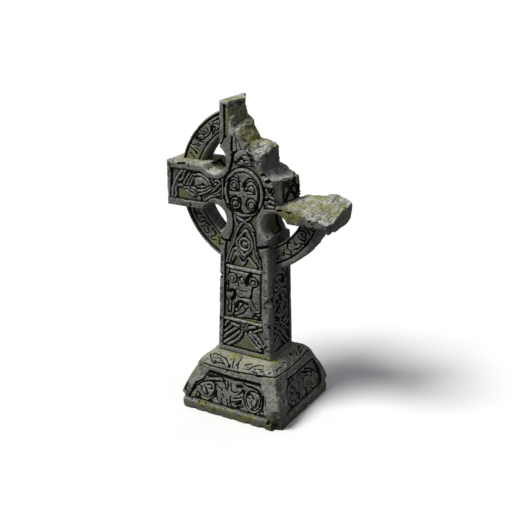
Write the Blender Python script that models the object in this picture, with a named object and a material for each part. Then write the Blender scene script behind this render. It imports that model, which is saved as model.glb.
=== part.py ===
"""Weathered wheel-head cross of carved stone standing on its own carved plinth, in metres, +Z up, front facing -Y.

Two pieces: the cross (shaft, head and what is left of the wheel, one stone) and the plinth under it. The origin is
the centre of the plinth's underside.
"""

import math

import bmesh
import bpy
from mathutils import Vector
from mathutils.geometry import delaunay_2d_cdt

# Overall sizes
TOTAL_HEIGHT = 1.600
PLINTH_HALF_WIDTH = 0.288
PLINTH_HALF_DEPTH = 0.272
PLINTH_TOP = 0.298
SEAT_GAP = 0.0003

# Shaft and head
FOOT = PLINTH_TOP + SEAT_GAP
FRONT = -0.125
BACK = 0.118
SHAFT_HALF_AT_FOOT = 0.157
SHAFT_HALF_AT_NECK = 0.136
NECK_LEVEL = 0.935
ARM_REACH = 0.4505
ARM_BOTTOM = 1.040
ARM_TOP = 1.272
STUMP_REACH = 0.468
STUMP_LOW = 1.014
STUMP_HIGH = 1.150
HEAD_LEVEL = 1.160
TOP_ARM_HALF = 0.135
ARMPIT_OFFSET_X = 0.172
ARMPIT_OFFSET_Z = 0.150
ARMPIT_RADIUS = 0.072
ARMPIT_FLARE = 0.024
ARMPIT_FLARE_FROM = 0.075
EDGE_ROUND_FRONT = 0.010
EDGE_ROUND_BACK = 0.016
ARC_STEPS = 9

# Sunk fields and relief
BORDER = 0.033
FIELD_FOOT = 0.325
FIELD_DEPTH = 0.012
BACK_FIELD_DEPTH = 0.008
SIDE_FIELD_DEPTH = 0.010
STRAND_TOP = -0.003
STRAND_ROOT = -0.016
STRAND_WIDTH = 0.011
WEAVE_GAP = 0.003
SIDE_FRONT_EDGE = -0.075
SIDE_BACK_EDGE = 0.085
SIDE_FIELD_TOP = 0.775
CHANNEL_DEPTH = 0.010
CHANNEL_HALF = 0.047
BACK_ROUND = 0.088
BACK_RING = 0.062
PROUD = 0.050  # how far a cutter stands clear of the face that it cuts
BED = 0.003  # how far relief is rooted under the floor of its field
CREST = -0.002  # top of the relief on the sides, the wheel and the back

# Wheel
WHEEL_OUTER = 0.416
WHEEL_INNER = 0.300
WHEEL_HALF = 0.050
WHEEL_ROLL = 0.020
WHEEL_LIP = 0.006
WHEEL_FIELD_DEPTH = 0.009
SCROLL_SPACING = 19.0
WHEEL_FROM, WHEEL_TO = 104.0, 345.0
WHEEL_STEPS = 30

# Medallion
MEDALLION = (0.000, 1.163)
MEDALLION_HALF_W = 0.106
MEDALLION_HALF_H = 0.1195
MEDALLION_RIM = 0.011
MEDALLION_LINE = 0.007
MEDALLION_INNER = 0.84
SCROLL_OFFSET = (0.048, 0.045)
SCROLL_RADIUS = 0.034

# Level bars across the shaft
BARS = (0.4925, 0.772)
BAR_HEIGHT = 0.015

# Plinth profile: (height, how far in from the foot's outline)
PLINTH_PROFILE = (
    (0.000, 0.000), (0.046, 0.000), (0.052, 0.006), (0.086, -0.002), (0.120, 0.008),
    (0.165, 0.025), (0.198, 0.042), (0.226, 0.055), (0.250, 0.064), (0.272, 0.079),
    (0.287, 0.100), (PLINTH_TOP, 0.128),
)
PLINTH_CORNER = 0.014
PANEL_LOW, PANEL_HIGH = 0.062, 0.216
PANEL_LOW_IN, PANEL_HIGH_IN = 0.005, 0.050
PANEL_HALF_LOW, PANEL_HALF_HIGH = 0.238, 0.150
FRONT_PANEL_SHIFT = -0.020  # the front panel's foot reaches further to the left than to the right
SIDE_PANEL_HALF_LOW, SIDE_PANEL_HALF_HIGH = 0.212, 0.145
PLINTH_FIELD_DEPTH = 0.008
PLINTH_RELIEF = 0.005
PLINTH_STRAND = 0.014
PLAIN_RING = 0.046
SLOPE_LOW, SLOPE_HIGH = 8, 10  # the profile's points between which the sloping top is cut with lines
SLOPE_CUT = 0.002
SLOPE_STROKE = 0.006
LOST_CORNER = 0.030
LOST_CORNER_TOP = 0.060

# Broken edge: from the top stump to the arm stump, each step as (x, z) at the front, the middle and the back
BREAK_MID = 0.0
BREAK_TOP = 1.850
BREAK_SWAY = 0.006
END_FACE = 0.192
END_LOW, END_HIGH = 1.130, 1.230
END_MID, END_HALF = 0.020, 0.060
BREAK_STEPS = (
    ((-0.080, 1.800), (-0.062, 1.800), (-0.134, 1.800)),
    ((-0.070, 1.560), (-0.061, 1.560), (-0.130, 1.560)),
    ((-0.060, 1.475), (-0.056, 1.505), (-0.112, 1.498)),
    ((-0.042, 1.460), (-0.016, 1.498), (-0.082, 1.472)),
    ((-0.030, 1.445), (-0.012, 1.466), (-0.076, 1.443)),
    ((0.010, 1.390), (0.020, 1.412), (-0.042, 1.384)),
    ((0.040, 1.352), (0.056, 1.406), (0.000, 1.378)),
    ((0.085, 1.372), (0.092, 1.400), (0.048, 1.365)),
    ((0.104, 1.364), (0.116, 1.386), (0.064, 1.350)),
    ((0.110, 1.290), (0.120, 1.305), (0.067, 1.274)),
    ((0.146, 1.264), (0.165, 1.266), (0.140, 1.252)),
    ((0.158, 1.232), (0.189, 1.238), (0.178, 1.212)),
    ((0.172, 1.112), (0.193, 1.120), (0.184, 1.112)),
    ((0.270, 1.102), (0.280, 1.132), (0.286, 1.133)),
    ((0.345, 1.086), (0.360, 1.132), (0.396, 1.152)),
    ((0.500, 1.060), (0.500, 1.096), (0.500, 1.108)),
)

# Chips off the shaft's front corners: side, level, how deep, half their height
CHIPS = ((1, 0.620, 0.016, 0.032), (-1, 0.716, 0.008, 0.022), (-1, 0.404, 0.006, 0.018),
         (-1, 0.555, 0.005, 0.026), (1, 0.400, 0.006, 0.022))
CHIP_BACK = 0.040
JOINT_LEVEL = 0.9055
JOINT_WIDTH = 0.0055


def clear_scene():
    for obj in list(bpy.data.objects):
        bpy.data.objects.remove(obj, do_unlink=True)


# Plane frames: a point (u, v) at height h over the frame is origin + u U + v V + h N
def frame(origin, u_axis, v_axis):
    u_axis, v_axis = Vector(u_axis).normalized(), Vector(v_axis).normalized()
    return Vector(origin), u_axis, v_axis, u_axis.cross(v_axis)


def place(fr, u, v, h):
    origin, u_axis, v_axis, n_axis = fr
    return origin + u_axis * u + v_axis * v + n_axis * h


# Curves in a plane
def arc(cx, cz, rx, rz, start, end, steps):
    return [(cx + rx * math.cos(math.radians(a)), cz + rz * math.sin(math.radians(a)))
            for a in (start + (end - start) * i / steps for i in range(steps + 1))]


def panel(middle, half, low, high):
    """Turns shares into points: across from -1 to 1 over the panel's width, and up from 0 to 1 over its height."""
    def points(*shares):
        return [(middle + half * u, low + (high - low) * v) for u, v in shares]
    return points


def spiral(cx, cz, r_out, r_in, start, turns, steps):
    out = []
    for i in range(steps + 1):
        t = i / steps
        a, r = math.radians(start + 360.0 * turns * t), r_out + (r_in - r_out) * t
        out.append((cx + r * math.cos(a), cz + r * math.sin(a)))
    return out


def closed_arc(cx, cz, rx, rz, steps):
    return arc(cx, cz, rx, rz, 0.0, 360.0, steps)


def mirrored(points, about=0.0):
    return [(2 * about - x, z) for x, z in points]


def leaf(root, angle, length, width, steps=4):
    """A pointed leaf outline that starts at its root."""
    ca, sa = math.cos(math.radians(angle)), math.sin(math.radians(angle))
    side = [(length * i / steps, width * 0.5 * math.sin(math.pi * i / steps)) for i in range(steps + 1)]
    loop = side + [(a, -b) for a, b in reversed(side[1:-1])]
    return [(root[0] + a * ca - b * sa, root[1] + a * sa + b * ca) for a, b in loop]


# Ribbons along a line, with the crossings woven
def lengths(points):
    out = [0.0]
    for (x0, z0), (x1, z1) in zip(points, points[1:]):
        out.append(out[-1] + math.hypot(x1 - x0, z1 - z0))
    return out


def crossing(p, q, r, s):
    dx, dz, ex, ez = q[0] - p[0], q[1] - p[1], s[0] - r[0], s[1] - r[1]
    det = dx * ez - dz * ex
    if abs(det) < 1e-12:
        return None
    t = ((r[0] - p[0]) * ez - (r[1] - p[1]) * ex) / det
    w = ((r[0] - p[0]) * dz - (r[1] - p[1]) * dx) / det
    if not (0.0 <= t < 1.0 and 0.0 <= w < 1.0):
        return None
    sine = abs(det) / (math.hypot(dx, dz) * math.hypot(ex, ez))
    return t, w, max(sine, 0.4)


def cut_line(points, spans):
    """The parts of a line left after taking out spans of its length."""
    at = lengths(points)
    keep, start = [], 0.0
    for low, high in sorted(spans):
        if low > start:
            keep.append((start, low))
        start = max(start, high)
    if at[-1] > start:
        keep.append((start, at[-1]))

    def point(s):
        for i in range(len(at) - 1):
            if s <= at[i + 1]:
                t = (s - at[i]) / max(at[i + 1] - at[i], 1e-9)
                return tuple(a + (b - a) * t for a, b in zip(points[i], points[i + 1]))
        return points[-1]

    out = []
    for low, high in keep:
        if high - low > 0.004:
            middle = [p for p, s in zip(points, at) if low + 0.002 < s < high - 0.002]
            out.append([point(low)] + middle + [point(high)])
    return out


def woven(lines, width):
    """Cuts each line where it passes under another, over and under in turn."""
    met = []
    for i, a in enumerate(lines):
        la = lengths(a)
        for j in range(i, len(lines)):
            b = lines[j]
            lb = lengths(b)
            for m in range(len(a) - 1):
                for n in range(m + 2 if i == j else 0, len(b) - 1):
                    hit = crossing(a[m], a[m + 1], b[n], b[n + 1])
                    if hit:
                        t, w, sine = hit
                        sa = la[m] + t * (la[m + 1] - la[m])
                        sb = lb[n] + w * (lb[n + 1] - lb[n])
                        if i != j or abs(sa - sb) > width * 2:
                            met.append((i, sa, j, sb, (width * 0.5 + WEAVE_GAP) / sine))
    met.sort()
    spans = {i: [] for i in range(len(lines))}
    turn = {i: 0 for i in range(len(lines))}
    for i, sa, j, sb, half in met:
        under, at = ((i, sa), (j, sb))[turn[i] % 2]
        turn[i] += 1
        spans[under].append((at - half, at + half))
    out = []
    for i, line in enumerate(lines):
        out += cut_line(line, spans[i])
    return out


def ribbon(points, width):
    """Four-cornered pieces that follow a line at a steady width."""
    shut = math.dist(points[0], points[-1]) < 1e-6
    pts = points[:-1] if shut else points
    count = len(pts)
    sides = []
    for i in range(count):
        prev = pts[(i - 1) % count] if shut or i else pts[i]
        nxt = pts[(i + 1) % count] if shut or i < count - 1 else pts[i]
        ax, az = pts[i][0] - prev[0], pts[i][1] - prev[1]
        bx, bz = nxt[0] - pts[i][0], nxt[1] - pts[i][1]
        la, lb = math.hypot(ax, az), math.hypot(bx, bz)
        ax, az = (ax / la, az / la) if la > 1e-9 else (bx / lb, bz / lb)
        bx, bz = (bx / lb, bz / lb) if lb > 1e-9 else (ax, az)
        nx, nz = -(az + bz), ax + bx
        size = math.hypot(nx, nz) or 1.0
        nx, nz = nx / size, nz / size
        grow = min(1.0 / max(abs(-az * nx + ax * nz), 0.5), 1.6) * width * 0.5
        sides.append(((pts[i][0] + nx * grow, pts[i][1] + nz * grow),
                      (pts[i][0] - nx * grow, pts[i][1] - nz * grow)))
    quads = []
    for i in range(count if shut else count - 1):
        (l0, r0), (l1, r1) = sides[i], sides[(i + 1) % count]
        quads.append([r0, r1, l1, l0])
    return quads


# Solids
def new_object(name, mesh_edit):
    mesh = bpy.data.meshes.new(name)
    bm = bmesh.new()
    mesh_edit(bm)
    bmesh.ops.recalc_face_normals(bm, faces=bm.faces)
    bm.to_mesh(mesh)
    bm.free()
    obj = bpy.data.objects.new(name, mesh)
    bpy.context.scene.collection.objects.link(obj)
    return obj


def loft(name, rings):
    """A closed body through rings of equally many points, with flat ends."""
    def edit(bm):
        rows = [[bm.verts.new(p) for p in ring] for ring in rings]
        for low, high in zip(rows, rows[1:]):
            for i in range(len(low)):
                k = (i + 1) % len(low)
                bm.faces.new((low[i], low[k], high[k], high[i]))
        bm.faces.new(rows[0])
        bm.faces.new(rows[-1])
    return new_object(name, edit)


def prism(name, fr, points, low, high):
    return loft(name, [[place(fr, u, v, low) for u, v in points], [place(fr, u, v, high) for u, v in points]])


def islands(name, fr, shapes, low, high):
    """One object of straight-sided blocks over the union of flat shapes."""
    verts, faces = [], []
    for shape in shapes:
        area = sum(a[0] * b[1] - b[0] * a[1] for a, b in zip(shape, shape[1:] + shape[:1]))
        shape = shape if area > 0 else list(reversed(shape))
        faces.append(list(range(len(verts), len(verts) + len(shape))))
        verts += [Vector(p) for p in shape]
    flat, _, tris, _, _, origin = delaunay_2d_cdt(verts, [], faces, 0, 1e-5)
    kept = [t for t, o in zip(tris, origin) if o]

    def edit(bm):
        lows, highs = {}, {}
        for t in kept:
            for i in t:
                if i not in lows:
                    u, v = flat[i]
                    lows[i] = bm.verts.new(place(fr, u, v, low))
                    highs[i] = bm.verts.new(place(fr, u, v, high))
        rims = {}
        for t in kept:
            bm.faces.new([highs[i] for i in t])
            bm.faces.new([lows[i] for i in reversed(t)])
            for i, k in zip(t, t[1:] + t[:1]):
                rims[(i, k)] = rims.get((i, k), 0) + 1
        for i, k in rims:
            if (k, i) not in rims:
                bm.faces.new((lows[i], lows[k], highs[k], highs[i]))
    return new_object(name, edit)


def boolean(target, cutter, operation):
    modifier = target.modifiers.new(cutter.name, "BOOLEAN")
    modifier.operation = operation
    modifier.solver = "EXACT"
    modifier.object = cutter
    graph = bpy.context.evaluated_depsgraph_get()
    graph.update()
    mesh = bpy.data.meshes.new_from_object(target.evaluated_get(graph))
    target.modifiers.clear()
    old = target.data
    target.data = mesh
    mesh.name = target.name
    bpy.data.meshes.remove(old)
    bpy.data.objects.remove(cutter, do_unlink=True)


def cut(target, cutter):
    boolean(target, cutter, "DIFFERENCE")


def join(target, other):
    boolean(target, other, "UNION")


# Outline of the unbroken cross, drawn in by an inset
def shaft_half(z):
    t = (z - FOOT) / (NECK_LEVEL - FOOT)
    return SHAFT_HALF_AT_FOOT + (SHAFT_HALF_AT_NECK - SHAFT_HALF_AT_FOOT) * t


def outline(inset, foot):
    radius = ARMPIT_RADIUS + inset
    side = SHAFT_HALF_AT_NECK - inset
    low_z, high_z = HEAD_LEVEL - ARMPIT_OFFSET_Z, HEAD_LEVEL + ARMPIT_OFFSET_Z

    def angle(dx, dz):
        return math.degrees(math.atan2(dz, dx))

    dx = side - ARMPIT_OFFSET_X
    a0 = angle(dx, -math.sqrt(radius**2 - dx**2)) % 360.0
    dz = ARM_BOTTOM + inset - low_z
    a1 = angle(math.sqrt(radius**2 - dz**2), dz)
    lower = arc(ARMPIT_OFFSET_X, low_z, radius, radius, a0, a1, ARC_STEPS)
    dz = ARM_TOP - inset - high_z
    a2 = angle(math.sqrt(radius**2 - dz**2), dz) % 360.0
    dx = TOP_ARM_HALF - inset - ARMPIT_OFFSET_X
    a3 = angle(dx, math.sqrt(radius**2 - dx**2))
    upper = arc(ARMPIT_OFFSET_X, high_z, radius, radius, a2, a3, ARC_STEPS)
    right = [(shaft_half(foot) - inset, foot)] + lower
    right += [(ARM_REACH - inset, ARM_BOTTOM + inset), (ARM_REACH - inset, ARM_TOP - inset)]
    right += upper + [(TOP_ARM_HALF - inset, TOTAL_HEIGHT - inset)]
    return right + [(-x, z) for x, z in reversed(right)]


FRONT_FACE = frame((0, FRONT, 0), (1, 0, 0), (0, 0, 1))
BACK_FACE = frame((0, BACK, 0), (-1, 0, 0), (0, 0, 1))
WHEEL_FACE = frame((0, -WHEEL_HALF, 0), (1, 0, 0), (0, 0, 1))
LEAN = (SHAFT_HALF_AT_NECK - SHAFT_HALF_AT_FOOT) / (NECK_LEVEL - FOOT)
RIGHT_FACE = frame((shaft_half(0.0), 0, 0), (0, 1, 0), (LEAN, 0, 1))
LEFT_FACE = frame((-shaft_half(0.0), 0, 0), (0, -1, 0), (-LEAN, 0, 1))


def cross_body():
    sections = (
        (FRONT, EDGE_ROUND_FRONT), (FRONT + EDGE_ROUND_FRONT * 0.35, EDGE_ROUND_FRONT * 0.3),
        (FRONT + EDGE_ROUND_FRONT, 0.0), (BACK - EDGE_ROUND_BACK, 0.0),
        (BACK - EDGE_ROUND_BACK * 0.35, EDGE_ROUND_BACK * 0.3), (BACK, EDGE_ROUND_BACK),
    )
    return loft("cross", [[(x, y, z) for x, z in outline(inset, FOOT)] for y, inset in sections])


def add_stump(body):
    """The right arm's stump swells a little at its broken end."""
    rings = []
    for x, low, high, front, back in (
        (STUMP_REACH - 0.083, ARM_BOTTOM + 0.012, STUMP_HIGH - 0.030, FRONT + 0.040, BACK - 0.030),
        (STUMP_REACH - 0.048, STUMP_LOW + 0.012, STUMP_HIGH, FRONT + 0.012, BACK - 0.004),
        (STUMP_REACH - 0.020, STUMP_LOW, STUMP_HIGH, FRONT + 0.008, BACK - 0.002),
        (STUMP_REACH, STUMP_LOW + 0.022, STUMP_HIGH - 0.020, FRONT + 0.040, BACK - 0.012),
    ):
        mid = 0.5 * (front + back)
        rings.append([(x, front, low + 0.022), (x, mid - 0.05, low), (x, mid + 0.06, low),
                      (x, back, low + 0.020), (x, back, high), (x, front, high)])
    join(body, loft("stump", rings))


def sink_fields(body):
    field = outline(BORDER, FIELD_FOOT)
    cut(body, prism("front_field", FRONT_FACE, field, -FIELD_DEPTH, PROUD))
    # The back is finished plainer: one sunk field on the shaft and one on the head
    foot_half, neck_half = shaft_half(FIELD_FOOT) - BORDER, SHAFT_HALF_AT_NECK - BORDER
    neck_top = NECK_LEVEL - BORDER
    back_low = [(-foot_half, FIELD_FOOT), (foot_half, FIELD_FOOT), (neck_half, neck_top), (-neck_half, neck_top)]
    cut(body, prism("back_field", BACK_FACE, back_low, -BACK_FIELD_DEPTH, PROUD))
    cut(body, prism("back_round", BACK_FACE, closed_arc(0, HEAD_LEVEL, BACK_ROUND, BACK_ROUND, 20)[:-1],
                    -BACK_FIELD_DEPTH, PROUD))
    side = [(SIDE_FRONT_EDGE, FIELD_FOOT), (SIDE_BACK_EDGE, FIELD_FOOT)]
    side += arc(0.5 * (SIDE_FRONT_EDGE + SIDE_BACK_EDGE), SIDE_FIELD_TOP - 0.05,
                0.5 * (SIDE_BACK_EDGE - SIDE_FRONT_EDGE), 0.05, 0.0, 180.0, 8)
    cut(body, prism("right_field", RIGHT_FACE, side, -SIDE_FIELD_DEPTH, PROUD))
    cut(body, prism("left_field", LEFT_FACE, mirrored(side), -SIDE_FIELD_DEPTH, PROUD))
    for sx in (-1, 1):
        for sz in (-1, 1):
            cx, cz = sx * ARMPIT_OFFSET_X, HEAD_LEVEL + sz * ARMPIT_OFFSET_Z
            r = ARMPIT_RADIUS + CHANNEL_DEPTH
            ring = closed_arc(cx, cz, r, r, 24)[:-1]
            cut(body, loft("channel", [[(x, y, z) for x, z in ring] for y in (-CHANNEL_HALF, CHANNEL_HALF)]))
            if sx * sz > 0 and sz > 0:
                continue
            flare = []
            for y, grow in ((ARMPIT_FLARE_FROM, -0.0005), (BACK + 0.01, ARMPIT_FLARE)):
                r = ARMPIT_RADIUS + grow
                flare.append([(x, y, z) for x, z in closed_arc(cx, cz, r, r, 24)[:-1]])
            cut(body, loft("flare", flare))


def add_wheel(body):
    half, roll, deep, lip = WHEEL_HALF, WHEEL_ROLL, WHEEL_FIELD_DEPTH, WHEEL_LIP
    section = (
        (WHEEL_INNER, -half + lip), (WHEEL_INNER + lip, -half), (WHEEL_INNER + roll, -half),
        (WHEEL_INNER + roll, -half + deep), (WHEEL_OUTER - roll, -half + deep), (WHEEL_OUTER - roll, -half),
        (WHEEL_OUTER - lip, -half), (WHEEL_OUTER, -half + lip), (WHEEL_OUTER, half - lip),
        (WHEEL_OUTER - lip, half), (WHEEL_INNER + lip, half), (WHEEL_INNER, half - lip),
    )
    rings = []
    for i in range(WHEEL_STEPS + 1):
        a = math.radians(WHEEL_FROM + (WHEEL_TO - WHEEL_FROM) * i / WHEEL_STEPS)
        rings.append([(r * math.cos(a), y, HEAD_LEVEL + r * math.sin(a)) for r, y in section])
    join(body, loft("wheel", rings))


# Panels that the carving is drawn in
SHAFT_FIELD = SHAFT_HALF_AT_NECK - BORDER
MEDALLION_LOW, MEDALLION_HIGH = MEDALLION[1] - MEDALLION_HALF_H, MEDALLION[1] + MEDALLION_HALF_H
ARM_FIELD_LOW, ARM_FIELD_HIGH = ARM_BOTTOM + BORDER, ARM_TOP - BORDER
ARM_FIELD_END = ARM_REACH - BORDER
NECK = panel(0.0, SHAFT_FIELD, BARS[1] + BAR_HEIGHT / 2, MEDALLION_LOW)
SCENE = panel(0.0, shaft_half(BARS[0]) - BORDER, BARS[0] + BAR_HEIGHT / 2, BARS[1] - BAR_HEIGHT / 2)
LEAF_ROOT = (0.0, FIELD_FOOT + 0.67 * (BARS[0] - BAR_HEIGHT / 2 - FIELD_FOOT))
LEFT_ARM = panel(-0.5 * (ARM_FIELD_END + MEDALLION_HALF_W), 0.5 * (ARM_FIELD_END - MEDALLION_HALF_W),
                 ARM_FIELD_LOW, ARM_FIELD_HIGH)
TOP_ARM = panel(0.0, TOP_ARM_HALF - BORDER, MEDALLION_HIGH, TOTAL_HEIGHT - BORDER)
RIGHT_ROOT = panel(0.5 * (MEDALLION_HALF_W + END_FACE), 0.5 * (END_FACE - MEDALLION_HALF_W),
                   ARM_FIELD_LOW, ARM_FIELD_HIGH)
SIDE_HALF = 0.5 * (SIDE_BACK_EDGE - SIDE_FRONT_EDGE)
SIDE = panel(0.5 * (SIDE_FRONT_EDGE + SIDE_BACK_EDGE), SIDE_HALF, FIELD_FOOT, SIDE_FIELD_TOP)
END = panel(END_MID, END_HALF, END_LOW, END_HIGH)
PLINTH_PANEL = panel(0.0, PANEL_HALF_LOW, PANEL_LOW, PANEL_HIGH)
PLINTH_SIDE = panel(0.0, SIDE_PANEL_HALF_LOW, PANEL_LOW, PANEL_HIGH)


def ribbons(lines, width):
    return [quad for line in lines for quad in ribbon(line, width)]


# Carving on the front of the cross
def medallion_shapes():
    cx, cz = MEDALLION
    shapes = ribbon(closed_arc(cx, cz, MEDALLION_HALF_W, MEDALLION_HALF_H, 28), MEDALLION_RIM)
    inner_w, inner_h = MEDALLION_HALF_W * MEDALLION_INNER, MEDALLION_HALF_H * MEDALLION_INNER
    shapes += ribbon(closed_arc(cx, cz, inner_w, inner_h, 24), MEDALLION_LINE)
    ox, oz = SCROLL_OFFSET
    for sx in (-1, 1):
        for sz in (-1, 1):
            start = math.degrees(math.atan2(sz, sx))
            turns = 1.9 * sx * sz
            eye = (cx + sx * ox, cz + sz * oz)
            shapes += ribbon(spiral(*eye, 0.88 * SCROLL_RADIUS, 0.15 * SCROLL_RADIUS, start, turns, 17), MEDALLION_LINE)
    star = []
    reach_w, reach_h = inner_w - MEDALLION_LINE, inner_h - MEDALLION_LINE
    hollow_radius = SCROLL_RADIUS + 0.8 * MEDALLION_LINE
    for sx, sz in ((1, 1), (-1, 1), (-1, -1), (1, -1)):
        mid = 180.0 + math.degrees(math.atan2(sz, sx))
        half_turn = 62 * sx * sz
        hollow = arc(cx + sx * ox, cz + sz * oz, hollow_radius, hollow_radius, mid + half_turn, mid - half_turn, 5)
        tip_side, tip_up = (cx + sx * reach_w, cz + sz * 0.004), (cx + sx * 0.006, cz + sz * reach_h)
        star += [tip_side] + hollow + [tip_up] if sx * sz > 0 else [tip_up] + hollow[::-1] + [tip_side]
    return shapes + [star]


def neck_shapes():
    """Diamond round a curl, two straps that cross above it and run down its sides, and two zigzags below."""
    width = STRAND_WIDTH * 0.9
    diamond = NECK((0.12, 0.715), (-0.20, 0.60), (-0.42, 0.48), (-0.22, 0.34), (0.03, 0.21), (0.26, 0.35),
                   (0.50, 0.50), (0.36, 0.60), (0.12, 0.715))
    left_strap = NECK((0.41, 1.00), (-0.04, 0.87), (-0.25, 0.775), (-0.50, 0.53), (-0.80, 0.24), (-0.95, 0.03))
    right_strap = NECK((-0.45, 0.99), (0.08, 0.89), (0.29, 0.80), (0.60, 0.66), (0.66, 0.44), (0.78, 0.26),
                       (0.96, 0.03))
    low_zigzag = NECK((-0.70, 0.02), (-0.43, 0.235), (-0.08, 0.03), (0.19, 0.19), (0.68, 0.02))
    curl = spiral(*NECK((0.04, 0.47))[0], 0.27 * SHAFT_FIELD, 0.06 * SHAFT_FIELD, 90, 1.8, 14)
    shapes = ribbon(diamond, width)
    shapes += ribbons(woven([left_strap, right_strap, low_zigzag], STRAND_WIDTH), width)
    return shapes + ribbon(curl, 0.7 * STRAND_WIDTH)


def scene_shapes():
    """Worn scene on the middle of the shaft: what shows is an arch, two standing forms and the ground over them."""
    width = 1.2 * STRAND_WIDTH
    ground = SCENE((-0.98, 0.60), (-0.55, 0.57), (-0.27, 0.49), (0.27, 0.48), (0.40, 0.60), (0.40, 0.38),
                   (0.73, 0.28), (0.80, 0.76), (0.76, 0.95), (0.32, 0.95), (0.14, 0.86), (0.15, 0.71),
                   (0.04, 0.70), (-0.06, 0.95), (-0.96, 0.95))
    left_form = SCENE((-0.98, 0.04), (-0.64, 0.04), (-0.60, 0.34), (-0.55, 0.53), (-0.75, 0.57), (-0.96, 0.53))
    right_form = SCENE((-0.27, 0.04), (0.45, 0.04), (0.36, 0.17), (0.07, 0.30), (-0.16, 0.27), (-0.25, 0.17))
    arch = SCENE((-0.40, 0.04), (-0.42, 0.23), (-0.27, 0.37), (0.0, 0.42), (0.27, 0.37), (0.55, 0.25),
                 (0.82, 0.18))
    step = SCENE((0.55, 0.07), (0.91, 0.11))
    return [ground, left_form, right_form] + ribbons([arch, step], width)


def roundel_shapes():
    shapes = []
    radius = 0.26 * SHAFT_FIELD
    for cx, cz in SCENE((-0.56, 0.80), (0.46, 0.79)):
        shapes += ribbon(closed_arc(cx, cz, radius, radius, 11), 0.7 * STRAND_WIDTH)
        shapes += [closed_arc(cx, cz, 0.5 * radius, 0.5 * radius, 7)[:-1]]
    return shapes


def leaf_shapes():
    """Leaves that spread from one root, their lengths and widths as shares of the field's half width."""
    reach = shaft_half(FIELD_FOOT) - BORDER - 0.012
    start = 0.11 * reach
    shapes = []
    for angle, length, width in ((168, 0.93, 0.23), (196, 0.89, 0.20), (222, 1.10, 0.23), (245, 0.89, 0.23),
                                 (12, 0.93, 0.23), (-20, 0.93, 0.21), (-44, 1.10, 0.23), (-68, 0.88, 0.20),
                                 (140, 0.41, 0.16), (40, 0.41, 0.16)):
        a = math.radians(angle)
        root = (LEAF_ROOT[0] + start * math.cos(a), LEAF_ROOT[1] + start * math.sin(a))
        shapes.append(leaf(root, angle, length * reach - start, width * reach))
    return shapes


def left_arm_shapes():
    """Bent straps at the arm's end, a drop in its middle with tails under it, and a knot by the medallion."""
    bend = LEFT_ARM((-0.58, 0.95), (-0.74, 0.78), (-0.86, 0.58), (-0.93, 0.34), (-0.94, 0.08))
    fork = LEFT_ARM((-0.76, 0.46), (-0.60, 0.45), (-0.44, 0.33), (-0.14, 0.20))
    rays = [LEFT_ARM((-0.73, 0.62), (-0.62, 0.67), (-0.46, 0.94)), LEFT_ARM((-0.54, 0.51), (-0.29, 0.90)),
            LEFT_ARM((-0.31, 0.49), (-0.10, 0.83))]
    tails = [LEFT_ARM((-0.52, 0.42), (-0.33, 0.42), (-0.01, 0.25), (0.09, 0.08)),
             LEFT_ARM((0.03, 0.26), (0.26, 0.34), (0.58, 0.52)),
             LEFT_ARM((0.28, 0.10), (0.70, 0.32), (0.93, 0.42))]
    hood = LEFT_ARM((-0.14, 0.87), (0.06, 0.93), (0.27, 0.88), (0.42, 0.73), (0.50, 0.58))
    drop = LEFT_ARM((-0.12, 0.71), (-0.02, 0.76), (0.18, 0.77), (0.33, 0.68), (0.39, 0.58), (0.31, 0.49),
                    (0.10, 0.47), (-0.04, 0.50), (-0.10, 0.60))
    knot = [LEFT_ARM((0.55, 0.84), (0.93, 0.52)), LEFT_ARM((0.60, 0.62), (0.92, 0.90))]
    width = 0.85 * STRAND_WIDTH
    shapes = ribbons(woven([bend, fork] + rays, width) + tails + [hood], width)
    return shapes + [drop] + ribbons(woven(knot, 0.7 * width), 0.8 * width)


def top_arm_shapes():
    roll = TOP_ARM((-0.68, 0.96), (-0.68, 0.69), (-0.70, 0.47), (-0.80, 0.20), (-0.82, 0.10))
    strip = TOP_ARM((-0.44, 0.58), (-0.42, 0.30), (-0.52, 0.10))
    knot = [TOP_ARM((-0.36, 0.06), (0.05, 0.22), (0.27, 0.25), (0.42, 0.06)),
            TOP_ARM((-0.40, 0.24), (0.00, 0.12), (0.30, 0.03))]
    shapes = ribbon(roll, 1.8 * STRAND_WIDTH) + ribbon(strip, 0.8 * STRAND_WIDTH)
    return shapes + ribbons(woven(knot, 0.7 * STRAND_WIDTH), 0.8 * STRAND_WIDTH)


def right_root_shapes():
    knot = RIGHT_ROOT((-0.75, 0.72), (0.20, 0.40), (0.00, 0.19), (-0.75, 0.30), (0.00, 0.64))
    return ribbons(woven([knot], 0.7 * STRAND_WIDTH), 0.8 * STRAND_WIDTH)


def bars_shapes():
    out = []
    for z in BARS:
        half = shaft_half(z) - BORDER + 0.004
        out.append([(-half, z - BAR_HEIGHT / 2), (half, z - BAR_HEIGHT / 2),
                    (half, z + BAR_HEIGHT / 2), (-half, z + BAR_HEIGHT / 2)])
    return out


def wheel_shapes():
    """Running scrolls in the wheel's sunk band."""
    middle = 0.5 * (WHEEL_INNER + WHEEL_OUTER)
    radius = 0.5 * (WHEEL_OUTER - WHEEL_INNER) - WHEEL_ROLL - 0.0125
    shapes = []
    for first, count in ((121.0, 3), (202.0, 3), (289.0, 3)):
        for i in range(count):
            a = math.radians(first + SCROLL_SPACING * i)
            cx, cz = middle * math.cos(a), HEAD_LEVEL + middle * math.sin(a)
            start = math.degrees(a) + (90 if i % 2 else -90)
            shapes += ribbon(spiral(cx, cz, radius, 0.23 * radius, start, -1.45, 12), 0.75 * STRAND_WIDTH)
    return shapes


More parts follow.
